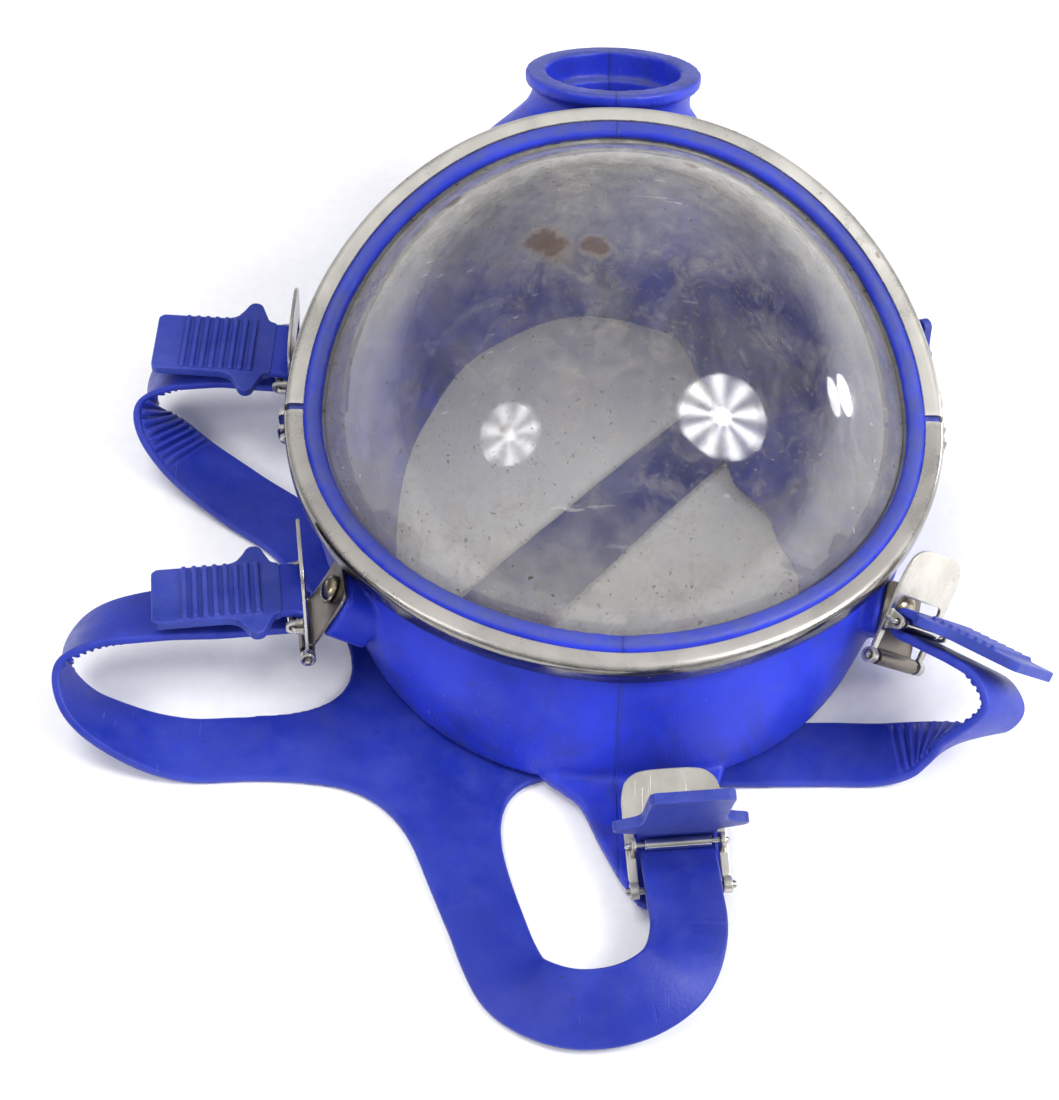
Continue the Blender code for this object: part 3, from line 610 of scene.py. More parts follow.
def facepiece_layers(g, colour, height, middle):
    """Grey top faces, walls darker in patches towards the bottom, and a moulding seam along x = 0;
    lengths in metres.
    """
    split = g.add("SeparateXYZ", Vector=g.position)
    z = Signal(g, split.socket.node.outputs["Z"])
    ring_low = min(world(ring_point(t, 0.0, 0.0)).z for t in angles(72))
    grey = g.up().ramp(over=(0.62, 0.86)) * z.ramp(over=(ring_low - 0.004, ring_low - 0.001))
    grey = grey * middle.ramp(over=(0.36, 0.62), to=(0.45, 0.78))
    colour = g.mix(grey, colour, TOP_GREY)
    # walls darker in patches, more of them towards the bottom, and rubbed patches across them
    patch = g.noise(g.coords(19.0, stretch=(1.0, 1.0, 0.6)), scale=34.0, detail=8.0, rough=0.72,
                    distort=1.4)
    foot = z.ramp(over=(0.024, 0.004), to=(0.0, 0.55)) + 0.22
    colour = g.mix((patch.ramp(over=(0.46, 0.66)) * foot).clamped(), colour, WALL_DARK_PATCHES)
    rubbed = g.mask(23.0, scale=60.0, detail=7.0, rough=0.7, distort=0.8, over=(0.56, 0.72))
    colour = g.mix(rubbed * 0.30, colour, WALL_RUBBED)
    # seam line, wandering a little to either side
    wander = (g.noise(g.coords(2.0), scale=40.0, detail=2.0) - 0.5) * 0.0006
    from_seam = g.math('ABSOLUTE', split - SHIFT.x + wander)
    height = height + from_seam.ramp(over=(0.00045, 0.00012)) * 1.1
    colour = g.mix(from_seam.ramp(over=(0.0010, 0.0004)) * 0.35, colour, SEAM_DARK)
    return colour, height


# ---------------------------------------------------------------- metal
METAL_LINT = (0.50, 0.475, 0.42)
METAL_SPOT = (0.115, 0.075, 0.045)
METAL_HOLLOW = (0.060, 0.048, 0.036)
METAL_WORN = (0.86, 0.84, 0.80)


def metal(name, seed, tint, rough, tarnish, film, side=1.0, lint_with_band_light=METAL_LINT):
    """Plated metal; rough is a range, and side below 1 paints the walls dark as a painted
    reflection.
    """
    g = MaterialGraph(name)
    coords = g.coords(seed)
    broad = g.noise(coords, scale=38.0, detail=5.0, rough=0.6, distort=0.5)
    middle = g.noise(coords, scale=240.0, detail=5.0, rough=0.6)
    brush = g.noise(g.coords(seed + 2), scale=900.0, detail=3.0, rough=0.55)
    colour = g.mix(broad.ramp(over=(0.36, 0.68)), tuple(c * 0.62 for c in tint), tint)
    if side < 1.0:
        # walls of the bright plate painted dark as a painted reflection, broken into streaks running
        # round the band
        streak = g.mask(seed + 12, stretch=(0.4, 0.4, 3.0), scale=160.0, detail=4.0, rough=0.6,
                        over=(0.35, 0.65))
        painted_wall_reflection = g.up().ramp(over=(0.86, 0.50))
        colour = g.mix((painted_wall_reflection * (0.55 + streak * 0.45)).clamped(), colour,
                       tuple(c * side for c in tint))
    # dull film of handling and lint, thicker on faces turned up
    dull = (g.up().ramp(over=(0.35, 0.92))
            * broad.ramp(over=(0.30, 0.62), to=(0.45, 1.0)))
    dull = (dull * film).clamped()
    colour = g.mix(dull, colour, lint_with_band_light)
    # brown spots
    spots = g.mask(seed + 4, scale=420.0, detail=3.0, rough=0.6, over=(0.62, 0.70))
    zone = g.mask(seed + 6, scale=55.0, detail=4.0, rough=0.6, over=(0.48, 0.68))
    brown = (spots * zone * (tarnish * 1.6)).clamped()
    colour = g.mix(brown, colour, METAL_SPOT)
    # dark hollows and bright worn edges
    edge = g.geometry("Pointiness")
    colour = g.mix(edge.ramp(over=(0.48, 0.42), to=(0.0, 0.65)), colour, METAL_HOLLOW)
    colour = g.mix(edge.ramp(over=(0.53, 0.62), to=(0.0, 0.45)), colour, METAL_WORN)
    roughness = (middle * 0.45 + broad * 0.55).ramp(over=(0.34, 0.66), to=rough)
    roughness = (roughness + (brown + dull) * 0.22).clamped()
    metallic = (1.0 - (brown + dull) * 0.72).clamped()
    scratch = g.mask(seed + 8, stretch=(1.0, 0.04, 0.3), scale=1300.0, detail=2.0, rough=0.5,
                     over=(0.66, 0.72))
    height = brush * 0.35 + middle * 0.5 - scratch * 0.5
    normal = g.bump(height, distance=0.00006, strength=0.7)
    return g.done(g.add("BsdfPrincipled", Base_Color=colour, Roughness=roughness,
                        Metallic=metallic, Normal=normal))


# ---------------------------------------------------------------- visor material
CLEAR_WARM, CLEAR_PALE = (0.86, 0.855, 0.85), (0.90, 0.895, 0.885)
FILM_DARK, FILM_PALE = (0.30, 0.285, 0.250), (0.45, 0.44, 0.395)
FILM_MOTTLE = (0.155, 0.120, 0.115)
FILM_SCRATCH = (0.55, 0.54, 0.52)
FILM_STAIN = (0.100, 0.068, 0.050)
FILM_SPECK = (0.07, 0.05, 0.035)


def visor_material(name, stains):
    """Clear plastic under dirt; stains are (x, y, z, radius) in metres."""
    g = MaterialGraph(name)
    coords = g.coords(1.0)
    rho, chin_side = g.attribute("rho"), g.attribute("chin")
    broad = g.noise(coords, scale=22.0, detail=5.0, rough=0.62, distort=0.6)
    middle = g.noise(coords, scale=150.0, detail=7.0, rough=0.68, distort=0.4)
    # grey brown film, heavy near the clamp and over the chin half
    edge = rho.ramp(over=(0.60, 1.02)) ** 1.4
    film = edge * broad.ramp(over=(0.25, 0.75), to=(0.34, 0.68))
    chin = (chin_side.ramp(over=(0.10, 0.85))
            * (middle * 0.5 + broad * 0.5).ramp(over=(0.36, 0.64), to=(0.34, 0.72)))
    fog = g.mask(4.0, stretch=(1.0, 0.6, 1.0), scale=46.0, detail=8.0, rough=0.7, distort=0.8,
                 over=(0.42, 0.74), to=(0.02, 0.16))
    haze = (film + chin + fog).clamped()
    # lint, specks and two directions of fine scratches
    speck = g.mask(6.0, scale=620.0, detail=2.0, rough=0.5, over=(0.685, 0.72))
    mottle = (g.mask(16.0, scale=95.0, detail=8.0, rough=0.72, distort=1.0, over=(0.52, 0.70))
              * broad.ramp(over=(0.35, 0.6), to=(0.25, 1.0)))
    scratch = g.mask(8.0, stretch=(0.05, 1.0, 0.6), scale=520.0, detail=2.0, rough=0.5,
                     distort=0.2, over=(0.70, 0.725))
    turned = g.add("Mapping", Vector=g.position, Rotation=(0, 0, 0.9), Scale=(0.045, 1.0, 0.5))
    slanting = g.noise(turned, scale=640.0, detail=2.0, rough=0.5,
                       distort=0.2).ramp(over=(0.705, 0.73))
    zone = g.mask(9.0, scale=30.0, detail=3.0, rough=0.6, over=(0.48, 0.66))
    marks = g.math('MAXIMUM', scratch, slanting) * zone
    haze = (haze + marks * 0.28).clamped()
    colour = g.mix(middle.ramp(over=(0.35, 0.7)), FILM_DARK, FILM_PALE)
    colour = g.mix(mottle * 0.7, colour, FILM_MOTTLE)
    haze = (haze + mottle * 0.34).clamped()
    colour = g.mix(marks * 0.6, colour, FILM_SCRATCH)
    # brown stains with ragged edges
    blot = None
    for x, y, z, radius in stains:
        distance = g.add("VectorMath", out=1, props={"operation": 'DISTANCE'},
                         _0=g.position, _1=(x, y, z))
        distance = distance + (middle - 0.5) * (radius * 1.9)
        stain = distance.ramp(over=(radius * 1.25, radius * 0.55))
        blot = stain if blot is None else g.math('MAXIMUM', blot, stain)
    colour = g.mix(blot, colour, FILM_STAIN)
    haze = (haze + blot * 0.55).clamped()
    colour = g.mix(speck, colour, FILM_SPECK)
    haze = (haze + speck * 0.5).clamped()
    height = g.noise(coords, scale=60.0, detail=3.0) * 0.5 + marks * -0.08
    normal = g.bump(height, distance=0.0002, strength=0.25)
    clear = g.add("BsdfTransparent",
                  Color=g.mix(broad.ramp(over=(0.3, 0.7)), CLEAR_WARM, CLEAR_PALE))
    gloss = g.add("BsdfGlossy", Color=(0.95, 0.95, 0.95), Normal=normal,
                  Roughness=middle.ramp(over=(0.35, 0.75), to=(0.035, 0.10)))
    # reflection grows from 4.5 % face on towards grazing
    facing = g.add("LayerWeight", out=1, Blend=0.5, Normal=normal)
    fresnel = (0.045 + facing ** 5.0 * 0.80).clamped()
    dirt = g.add("BsdfPrincipled", Base_Color=colour, Roughness=0.55, Specular_IOR_Level=0.2)
    return g.done(g.mix_shader(fresnel, g.mix_shader(haze, clear, dirt), gloss))


# ---------------------------------------------------------------- view (stains, lamps, camera)
VIEW_PITCH, VIEW_YAW, VIEW_ROLL = math.radians(48.0), math.radians(-5.0), math.radians(5.0)
VIEW_DISTANCE = 0.650  # metres from the ring centre
LENS_MM = 79.5168
# Sight lines are (right, up) slopes from the line through the ring centre
CAMERA_AIM = (-0.03739669, -0.07231405)

VIEW_BACK = Vector((math.sin(VIEW_YAW) * math.cos(VIEW_PITCH),
                    -math.cos(VIEW_YAW) * math.cos(VIEW_PITCH), math.sin(VIEW_PITCH)))
level = Vector((math.cos(VIEW_YAW), math.sin(VIEW_YAW), 0.0))
upright = VIEW_BACK.cross(level)
VIEW_RIGHT = level * math.cos(VIEW_ROLL) + upright * math.sin(VIEW_ROLL)
VIEW_UP = upright * math.cos(VIEW_ROLL) - level * math.sin(VIEW_ROLL)
CAMERA_AT = world(RING_CENTRE) + VIEW_BACK * VIEW_DISTANCE


def sight_line(right, up):
    return (-VIEW_BACK + VIEW_RIGHT * right + VIEW_UP * up).normalized()


# ---------------------------------------------------------------- facepiece
# How far the soft seal turns in from the outer rim:
# (bearing in degrees, distance), bearing 0 at +x and 90 at the chin
SEAL_IN = [
    (-180, 14.0), (-150, 13.0), (-110, 11.0), (-90, 10.5), (-60, 10.5), (-35, 12.0),
    (-12, 20.0), (5, 27.0), (22, 35.0), (40, 34.0), (58, 21.0), (75, 9.0), (95, 5.5),
    (120, 9.0), (150, 13.0), (180, 14.0)]
# Top of the wall, the seat and the lip round the visor: (out, rise) from the ring
RING_SEAT = [
    (0.7, -5.9), (4.4, -5.9), (4.4, -0.2), (-0.3, -0.2), (-0.3, 1.1), (-1.0, 1.6), (-2.4, 1.9),
    (-3.7, 1.7), (-4.4, 1.1)]
VISOR_GROOVE = [(-5.7, -1.4), (-1.0, -1.4), (-1.0, -4.6), (-5.7, -4.6)]
# Port neck, from its mouth into the mask: (depth, half width, half height)
NECK = [
    (0.0, PORT_R - 0.35, PORT_R - 0.35), (0.1, PORT_R + 0.1, PORT_R + 0.1),
    (1.0, PORT_R + 0.15, PORT_R + 0.15), (3.3, PORT_R + 0.1, PORT_R + 0.1),
    (3.7, PORT_R - 0.4, PORT_R - 0.4), (4.4, 23.4, 23.4), (6.2, 23.2, 22.8), (8.0, 23.4, 22.4),
    (10.5, 24.2, 22.3), (13.0, 26.4, 22.2), (16.0, 29.4, 21.9), (19.0, 32.5, 21.5),
    (22.5, 35.2, 20.2), (26.0, 36.5, 18.0), (32.0, 32.0, 12.0)]
NECK_LEAN, NECK_LEAN_FROM = 0.22, 5.0  # sideways shift per mm of depth, beyond this depth
# Lugs under the studs: (outline, corner radius, corner steps, bottom, top) in the base frame
FOREHEAD_PAD = [
    (-24, -33), (-14, -22.5), (-2, -19), (8, -15.4), (11.5, -13.8),
    (11.5, 11.4), (8, 12.0), (-6, 12.4), (-14, 13.6), (-24, 18)]
FOREHEAD_TONGUE = [
    (7, -14.6), (11.0, -14.0), (17.5, -10.9), (19.0, -7.0), (19.0, 6.0), (16.5, 9.6),
    (11.0, 11.4), (7, 11.8)]
FOREHEAD_LUGS = [(FOREHEAD_PAD, 3.0, 5, -3.8, -0.3), (FOREHEAD_TONGUE, 2.0, 5, -3.7, -1.7)]
SIDE_LUGS = [(rectangle(-5, 9, -10.5, 10.5), 4.0, 8, -12.0, -0.3)]


def seal_in(bearing):
    for (start, near), (end, far) in zip(SEAL_IN, SEAL_IN[1:]):
        if start <= bearing <= end:
            f = (bearing - start) / (end - start)
            f = f * f * (3 - 2 * f)
            return near + (far - near) * f


def opening_point(angle):
    bearing = math.degrees((angle + math.pi) % (2 * math.pi) - math.pi)
    p = rim_point(angle, -seal_in(bearing), RIM_Z)
    return p.x, p.y


def shell_rings(around):
    rings = [[rim_point(t, -1.6, RIM_Z) for t in around]]
    for rise in [0.012, 0.035] + [0.035 + 0.965 * i / 22 for i in range(1, 23)]:
        rings.append([wall_point(t, rise, 0.0) for t in around])
    return rings + ring_rings(around, RING_SEAT)


def neck_rings(port):
    origin, first, second, axis = port
    return [[origin + axis * depth - first * max(0.0, NECK_LEAN * (depth - NECK_LEAN_FROM))
             + first * (math.cos(t) * half_x) + second * (math.sin(t) * half_y)
             for t in angles(96)] for depth, half_x, half_y in NECK]


def cavity_rings(around):
    """Inside of the mask: face opening, rounded seal, wall and visor opening."""
    lip = [opening_point(t) for t in around]

    def lip_ring(z):
        return [Vector((x, y, z)) for x, y in lip]

    rings = [lip_ring(-4.0), lip_ring(RIM_Z + 1.6),
             [p + (wall_point(t, 0.08, -WALL) - p) * 0.06
              for p, t in zip(lip_ring(RIM_Z + 2.6), around)]]
    for f in (0.3, 0.6, 0.85):
        rings.append([p.lerp(wall_point(t, 0.10, -WALL), f)
                      for p, t in zip(lip_ring(RIM_Z + 3.2 + 1.6 * f), around)])
    for rise in [0.12 + 0.88 * i / 17 for i in range(18)]:
        rings.append([wall_point(t, rise, -WALL) for t in around])
    return rings + ring_rings(around, [(-5.0, -6.2), (-5.0, 4.0), (-12.0, 12.0)])


def build_body():
    around = angles(168)
    axis = Vector((0.0, -math.sin(PORT_TILT), -math.cos(PORT_TILT)))
    port = (Vector((0.0, PORT_Y, PORT_Z)), EX, axis.cross(EX), axis)
    body = solid("facepiece", shell_rings(around))
    boolean(body, 'UNION', neck_rings(port))
    for station in STATIONS:
        lugs = FOREHEAD_LUGS if station.mode == "front" else SIDE_LUGS
        for outline, radius, steps, bottom, top in lugs:
            lug = prism(fillet(outline, radius, steps), bottom, top, station.placing())
            boolean(body, 'UNION', lug, flat=True)
    boolean(body, 'DIFFERENCE', cavity_rings(around))
    boolean(body, 'DIFFERENCE', ring_rings(around, VISOR_GROOVE), wrap=True)
    bore = [(-3.0, BORE_R), (BORE_STEP, BORE_R), (BORE_STEP + 0.01, BORE_R_INNER),
            (40.0, BORE_R_INNER)]
    boolean(body, 'DIFFERENCE', revolve(bore, port, 96))
    tidy(body)
    soften(body, 0.75, 4)
    to_world(body)
    material = rubber("rubber facepiece", seed=0.0, dust=0.26, deep=FACEPIECE_DEEP,
                      lit=FACEPIECE_LIT, seam=True)
    install(body, material, "facepiece", "facepiece_body", "blue_rubber_mask")


# ---------------------------------------------------------------- visor
# Brown stains: sight line (right, up) that finds the place, and radius in metres
STAIN_SIGHTS = [
    (-0.03181818, 0.05454545, 0.0058), (-0.02644628, 0.05165289, 0.0046),
    (-0.01157025, 0.05330579, 0.0034), (-0.00826446, 0.05082645, 0.0030),
    (-0.04752066, -0.02272727, 0.0020), (0.02892562, 0.08471074, 0.0030),
    (-0.06818182, 0.07024793, 0.0034)]


def visor_rings():
    around = angles(160)
    steps = 34
    rhos = [1.0 - (i / steps) ** 1.15 * 0.985 for i in range(steps + 1)]
    outer = [[dome_point(t, rho, -5.5, -1.7) for t in around] for rho in reversed(rhos)]
    inner = [[dome_point(t, rho, -7.6, -4.3) for t in around] for rho in rhos]
    return outer + ring_rings(around, [(-1.3, -1.7), (-1.3, -4.3)]) + inner


def mark_points(mesh, name, values):
    mesh.attributes.new(name, 'FLOAT', 'POINT').data.foreach_set("value", values)


def build_visor():
    """Builds the visor and returns its world surface for casting rays."""
    visor = solid("visor", visor_rings(), shade_angle=35.0)
    mesh = visor.data
    rho, chin = [], []
    for vertex in mesh.vertices:
        offset = vertex.co - RING_CENTRE
        x, y = offset.dot(EX) / RING_HALF_X, offset.dot(EY) / RING_HALF_Y
        rho.append(math.sqrt(x * x + y * y))
        chin.append(min(1.0, max(0.0, y)))
    mark_points(mesh, "rho", rho)
    mark_points(mesh, "chin", chin)
    to_world(visor)
    surface = BVHTree.FromPolygons([v.co for v in mesh.vertices],
                                   [tuple(p.vertices) for p in mesh.polygons])
    stains = []
    for right, up, radius in STAIN_SIGHTS:
        place = surface.ray_cast(CAMERA_AT, sight_line(right, up))[0]
        if place is not None:
            stains.append((*place, radius))
    install(visor, visor_material("clear visor", stains), "facepiece", "visor_lens",
            "visor_clear")
    return surface


# ---------------------------------------------------------------- clamp band
# name, replaced piece, start angle, seed, ear span in y, lint colour; the upper band's paler lint is
# partly painted light and the lower band's darker lint partly painted shade.
# The upper band goes round the chin half.
CLAMPS = [
    ("clamp_band_upper", "clamp_upper", 0.0, 11.0, (1.6, 2.8), (0.52, 0.50, 0.46)),
    ("clamp_band_lower", "clamp_lower", math.pi, 14.0, (-2.8, -1.6), (0.34, 0.31, 0.29))]
CLAMP_GAP, CLAMP_STEPS = 0.012, 220  # half gap between the bands in radians, steps round one
SCREW_HEAD = [
    (-5.1, 1.2), (-5.0, 1.6), (-4.7, 2.05), (-4.4, 2.2), (-3.25, 2.2), (-3.1, 2.05), (-3.1, 1.2)]


def joint_frame(side, out=0.0, rise=0.0):
    """Frame at the band joint at +x or -x: outward, up off the ring, long axis to the chin."""
    origin = ring_point(0.0 if side > 0 else math.pi, 0.0, 0.0)
    outward = EX * side
    return (origin + outward * out + EN * rise, outward, EN, EY)


def clamp_section():
    """Closed band section as (out, rise) from the ring."""
    points = [(0.0, 0.12), (0.0, 0.70), (0.22, 0.92), (0.9, 1.02), (1.8, 1.06), (2.6, 1.05)]
    points += [(2.95 + 2.55 * math.sin(a), -1.5 + 2.55 * math.cos(a))
               for a in map(math.radians, range(6, 91, 12))]
    points += [(5.52, -2.6), (5.54, -4.2), (5.5, -6.0)]
    points += [(4.7 + 0.8 * math.cos(a), -6.2 - 0.8 * math.sin(a))
               for a in map(math.radians, (20, 45, 70, 90))]
    return points + [
        (3.0, -7.0), (1.4, -7.0), (1.2, -6.85), (1.2, -6.35), (1.4, -6.2), (4.4, -6.2),
        (4.7, -5.9), (4.7, -1.6), (4.3, -0.6), (3.4, 0.02), (2.6, 0.12)]


def build_band(name, node, start, seed, ear_span, lint_with_band_light):
    around = [start + CLAMP_GAP + (math.pi - 2 * CLAMP_GAP) * i / CLAMP_STEPS
              for i in range(CLAMP_STEPS + 1)]
    section = clamp_section()
    band = solid(name, [[ring_point(t, out, rise) for out, rise in section] for t in around],
                 flat=True)
    for side in (1, -1):
        ear = fillet(rectangle(1.4, 7.6, -13.6, -6.6), 1.8, 6)
        boolean(band, 'UNION', prism(ear, *ear_span, joint_frame(side)), flat=True)
        hole = revolve([(-5.0, 1.5), (5.0, 1.5)], joint_frame(side, SCREW_OUT, SCREW_UP), 32)
        boolean(band, 'DIFFERENCE', hole)
    tidy(band)
    shade(band, 32.0)
    to_world(band)
    # side paints the band's walls dark, a painted reflection
    material = metal(name + " plate", seed, tint=(0.72, 0.69, 0.64), rough=(0.12, 0.30),
                     tarnish=0.50, film=0.66, side=0.22, lint_with_band_light=lint_with_band_light)
    install(band, material, "facepiece", node, "clamp_plate")


def build_screw(side, tag, placing):
    thread = []
    for i in range(24):
        along = -2.9 + 9.0 * i / 24
        thread += [(along, 1.08), (along + 0.19, 1.2)]
    screw = solid("screw_" + tag, revolve(SCREW_HEAD + thread + [(6.2, 0.9)], placing, 40))
    slot = prism(rectangle(-3.0, 3.0, -0.3, 0.3), -6.0, -4.35, placing)
    boolean(screw, 'DIFFERENCE', slot, flat=True)
    shade(screw)
    to_world(screw)
    material = metal("screw steel " + tag, 21.0 + side, tint=(0.60, 0.58, 0.54),
                     rough=(0.20, 0.42), tarnish=0.5, film=0.3)
    install(screw, material, "facepiece", "clamp_screw_" + tag, "fastener")


def build_nut(side, tag, placing):
    nut = solid("nut_" + tag, revolve([(3.1, 2.5), (5.3, 2.5)], placing, 6))
    rounding = [(2.8, 2.1), (3.3, 2.48), (5.1, 2.48), (5.6, 2.1)]
    boolean(nut, 'INTERSECT', revolve(rounding, placing, 48))
    boolean(nut, 'DIFFERENCE', revolve([(0.0, 1.32), (8.0, 1.32)], placing, 32))
    shade(nut, 25.0)
    to_world(nut)
    material = metal("nut steel " + tag, 25.0 + side, tint=(0.56, 0.54, 0.50),
                     rough=(0.22, 0.45), tarnish=0.5, film=0.3)
    install(nut, material, "facepiece", "clamp_nut_" + tag, "fastener")


def build_clamps():
    for row in CLAMPS:
        build_band(*row)
    for side, tag in ((-1, "left"), (1, "right")):
        placing = joint_frame(side, SCREW_OUT, SCREW_UP)
        build_screw(side, tag, placing)
        build_nut(side, tag, placing)


# ---------------------------------------------------------------- harness hub
HUB_BOTTOM, HUB_TOP = 0.2, 2.5
HUB_FLARE = 4.5  # extra half width of an arm at the hub centre
ARM_THIN_RUN = 14.0  # length over which an arm thins to its end


def spline(knots, step):
    """Centripetal spline through (point, direction) knots, sampled about every step."""
    out = []
    last = len(knots) - 1
    for i in range(last):
        quad = (knots[max(i - 1, 0)], knots[i], knots[i + 1], knots[min(i + 2, last)])
        count = max(2, int(round((quad[2][0] - quad[1][0]).length / step)))
        gap1, gap2, gap3 = (max((b[0] - a[0]).length, 1e-6) ** 0.5
                            for a, b in zip(quad, quad[1:]))
        for j in range(count):
            t = j / count
            t2, t3 = t * t, t * t * t
            sample = []
            for before, start, end, after in zip(*quad):
                slope1 = slope2 = end - start
                if i > 0:
                    slope1 = ((start - before) / gap1 - (end - before) / (gap1 + gap2)
                              + (end - start) / gap2) * gap2
                if i < last - 1:
                    slope2 = ((end - start) / gap2 - (after - start) / (gap2 + gap3)
                              + (after - end) / gap3) * gap2
                sample.append(start * (2 * t3 - 3 * t2 + 1) + slope1 * (t3 - 2 * t2 + t)
                              + end * (-2 * t3 + 3 * t2) + slope2 * (t3 - t2))
            out.append(tuple(sample))
    out.append(knots[-1])
    return out


def hub_arm(points):
    """Centre line, left edge, right edge and heading of one arm."""
    knots = [(Vector((x, y, 0.0)), Z_AXIS) for x, y in [HUB_CENTRE] + points]
    middle = [point for point, _ in spline(knots, 3.0)]
    left, right = [], []
    for i, point in enumerate(middle):
        t = tangent(middle, i)
        side = Vector((-t.y, t.x, 0))
        half = STRAP_HALF + HUB_FLARE * (1 - i / (len(middle) - 1)) ** 2
        left.append(point + side * half)
        right.append(point - side * half)
    heading = math.atan2(middle[3].y - middle[0].y, middle[3].x - middle[0].x)
    return middle, left, right, heading


def arm_rings(middle, left, right):
    rings = []
    for point, a, b in zip(middle, left, right):
        thin = max(0.0, 1.0 - (middle[-1] - point).length / ARM_THIN_RUN)
        bottom, top = HUB_BOTTOM + 0.3 * thin, HUB_TOP - 0.8 * thin
        rings.append([Vector((a.x, a.y, bottom)), Vector((b.x, b.y, bottom)),
                      Vector((b.x, b.y, top)), Vector((a.x, a.y, top))])
    return rings


def web_rings(arm, following):
    """Web that rounds the crotch between an arm and the next; None where there is none."""
    middle_a, left_a, _, heading_a = arm
    middle_b, _, right_b, heading_b = following
    wide = (heading_b - heading_a) % (2 * math.pi)
    if wide > math.radians(170):
        return None
    reach = min(44.0, 22.0 / math.tan(wide / 2) + 12.0)

    def index_at_reach(middle):
        for i, point in enumerate(middle):
            if (point - middle[0]).length >= reach:
                return i
        return len(middle) - 1

    i, j = index_at_reach(middle_a), index_at_reach(middle_b)
    start, end = left_a[i], right_b[j]
    way_a = (start - left_a[i - 1]).normalized()
    way_b = (end - right_b[j - 1]).normalized()
    turn = way_a.x * way_b.y - way_a.y * way_b.x
    if abs(turn) < 1e-3:
        return None
    gap = end - start
    crossing = start + way_a * ((gap.x * way_b.y - gap.y * way_b.x) / turn)
    outline = [middle_a[0], middle_a[i]] + quadratic(start, crossing, end, 14) + [middle_b[j]]
    return [[Vector((p.x, p.y, z)) for p in outline] for z in (HUB_BOTTOM, HUB_TOP)]


def build_hub():
    arms = [hub_arm(points) for points in HUB_ARMS.values()]
    order = sorted(arms, key=lambda arm: arm[3])
    webs = [web_rings(a, b) for a, b in zip(order, order[1:] + order[:1])]
    hub = solid("harness_spider", *[arm_rings(*arm[:3]) for arm in arms],
                *[web for web in webs if web], flat=True)
    soften(hub, 0.55, 5)
    to_world(hub)
    install(hub, HARNESS, "facepiece", "harness_hub", "blue_rubber_harness")


# ---------------------------------------------------------------- straps
# share of the loop's length where its cross ribs start
RIBS_FROM, RIBS_FROM_TEMPLE_RIGHT = 0.56, 0.30


def with_frames(path):
    """Adds tangents to (point, width) pairs and squares the widths to them."""
    points = [p for p, _ in path]
    out = []
    for i, (point, width) in enumerate(path):
        t = tangent(points, i)
        out.append((point, (width - t * width.dot(t)).normalized(), t))
    return out


def relax(path, stop, reach):
    """Evens out the twist of a strap up to its buckle."""
    out = []
    for i in range(len(path)):
        wide = min(reach, i, max(0, stop - i))
        near = wide // 3
        point = sum((path[j][0] for j in range(i - near, i + near + 1)), Vector())
        width = sum((path[j][1] for j in range(i - wide, i + wide + 1)), Vector())
        out.append((point / (2 * near + 1), width / (2 * wide + 1)))
    return with_frames(out)


def nearest(path, point):
    return min(range(len(path)), key=lambda i: (path[i][0] - point).length)


def strap_rings(path, sign, ribs=None, inset=0.0):
    """Rounded strap; ribs is the (from, to) run length with cross ribs on one face.
    A ribbed strap also starts thinner, where it leaves the hub."""
    run = 0.0
    rings = []
    half, thick = STRAP_HALF - inset, STRAP_HALF_T - inset
    for i, (point, width, t) in enumerate(path):
        if i:
            run += (path[i][0] - path[i - 1][0]).length
        normal = t.cross(width) * sign
        lift, top = 0.0, thick
        if ribs:
            top = thick * (0.86 + 0.14 * min(1.0, run / 12.0))
            if ribs[0] < run < ribs[1]:
                fade = min(1.0, (run - ribs[0]) / 4.0, (ribs[1] - run) / 4.0)
                phase = (run / RIB_PITCH) % 1.0
                lift = 0.95 * fade * max(0.0, min(1.0, 2.6 - abs(phase - 0.5) * 7.0))
        section = []
        for side_x, side_z, base in ((-1, -1, 180), (1, -1, 270), (1, 1, 0), (-1, 1, 90)):
            x, z = side_x * (half - STRAP_ROUND), side_z * (top - STRAP_ROUND)
            for a in (math.radians(base + d) for d in (0, 30, 60, 90)):
                section.append((x + STRAP_ROUND * math.cos(a), z + STRAP_ROUND * math.sin(a)))
            if base == 0:
                foot, crest = half - 1.3, half - 1.7
                section += [(foot, top), (crest, top + lift), (3.0, top + lift),
                            (-3.0, top + lift), (-crest, top + lift), (-foot, top)]
        rings.append([point + width * x + normal * z for x, z in section])
    return rings


def strap_piece(name, node, rings, start, end):
    """One strap length."""
    piece = solid(name, rings, flat=True, shade_angle=48.0)
    # no worn edge where one strap piece runs on into the next
    count, margin = len(piece.data.vertices), 3 * len(rings[0])
    mark_points(piece.data, "joinend",
                [1.0 if i < margin or i >= count - margin else 0.0 for i in range(count)])
    piece.data.materials.append(HARNESS)
    to_world(piece)
    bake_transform(piece)
    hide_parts(node)


def inlet(station):
    lead, bearings, end = INLETS[station.mode]
    wrap = [(ROLLER_ALONG + WRAP_R * math.cos(a), ROLLER_UP + WRAP_R * math.sin(a))
            for a in map(math.radians, bearings)]
    return [(station.lever(a, b), station.across) for a, b in lead + wrap + [end]]


def loop_sign(path):
    """Which face of the strap is inside the loop: 1.0 or -1.0."""
    turn = 0.0
    for i in range(6, len(path) - 6, 3):
        before = (path[i][0] - path[i - 5][0]).normalized()
        after = (path[i + 5][0] - path[i][0]).normalized()
        turn += (after - before).dot(before.cross(path[i][1]).normalized())
    return 1.0 if turn > 0 else -1.0


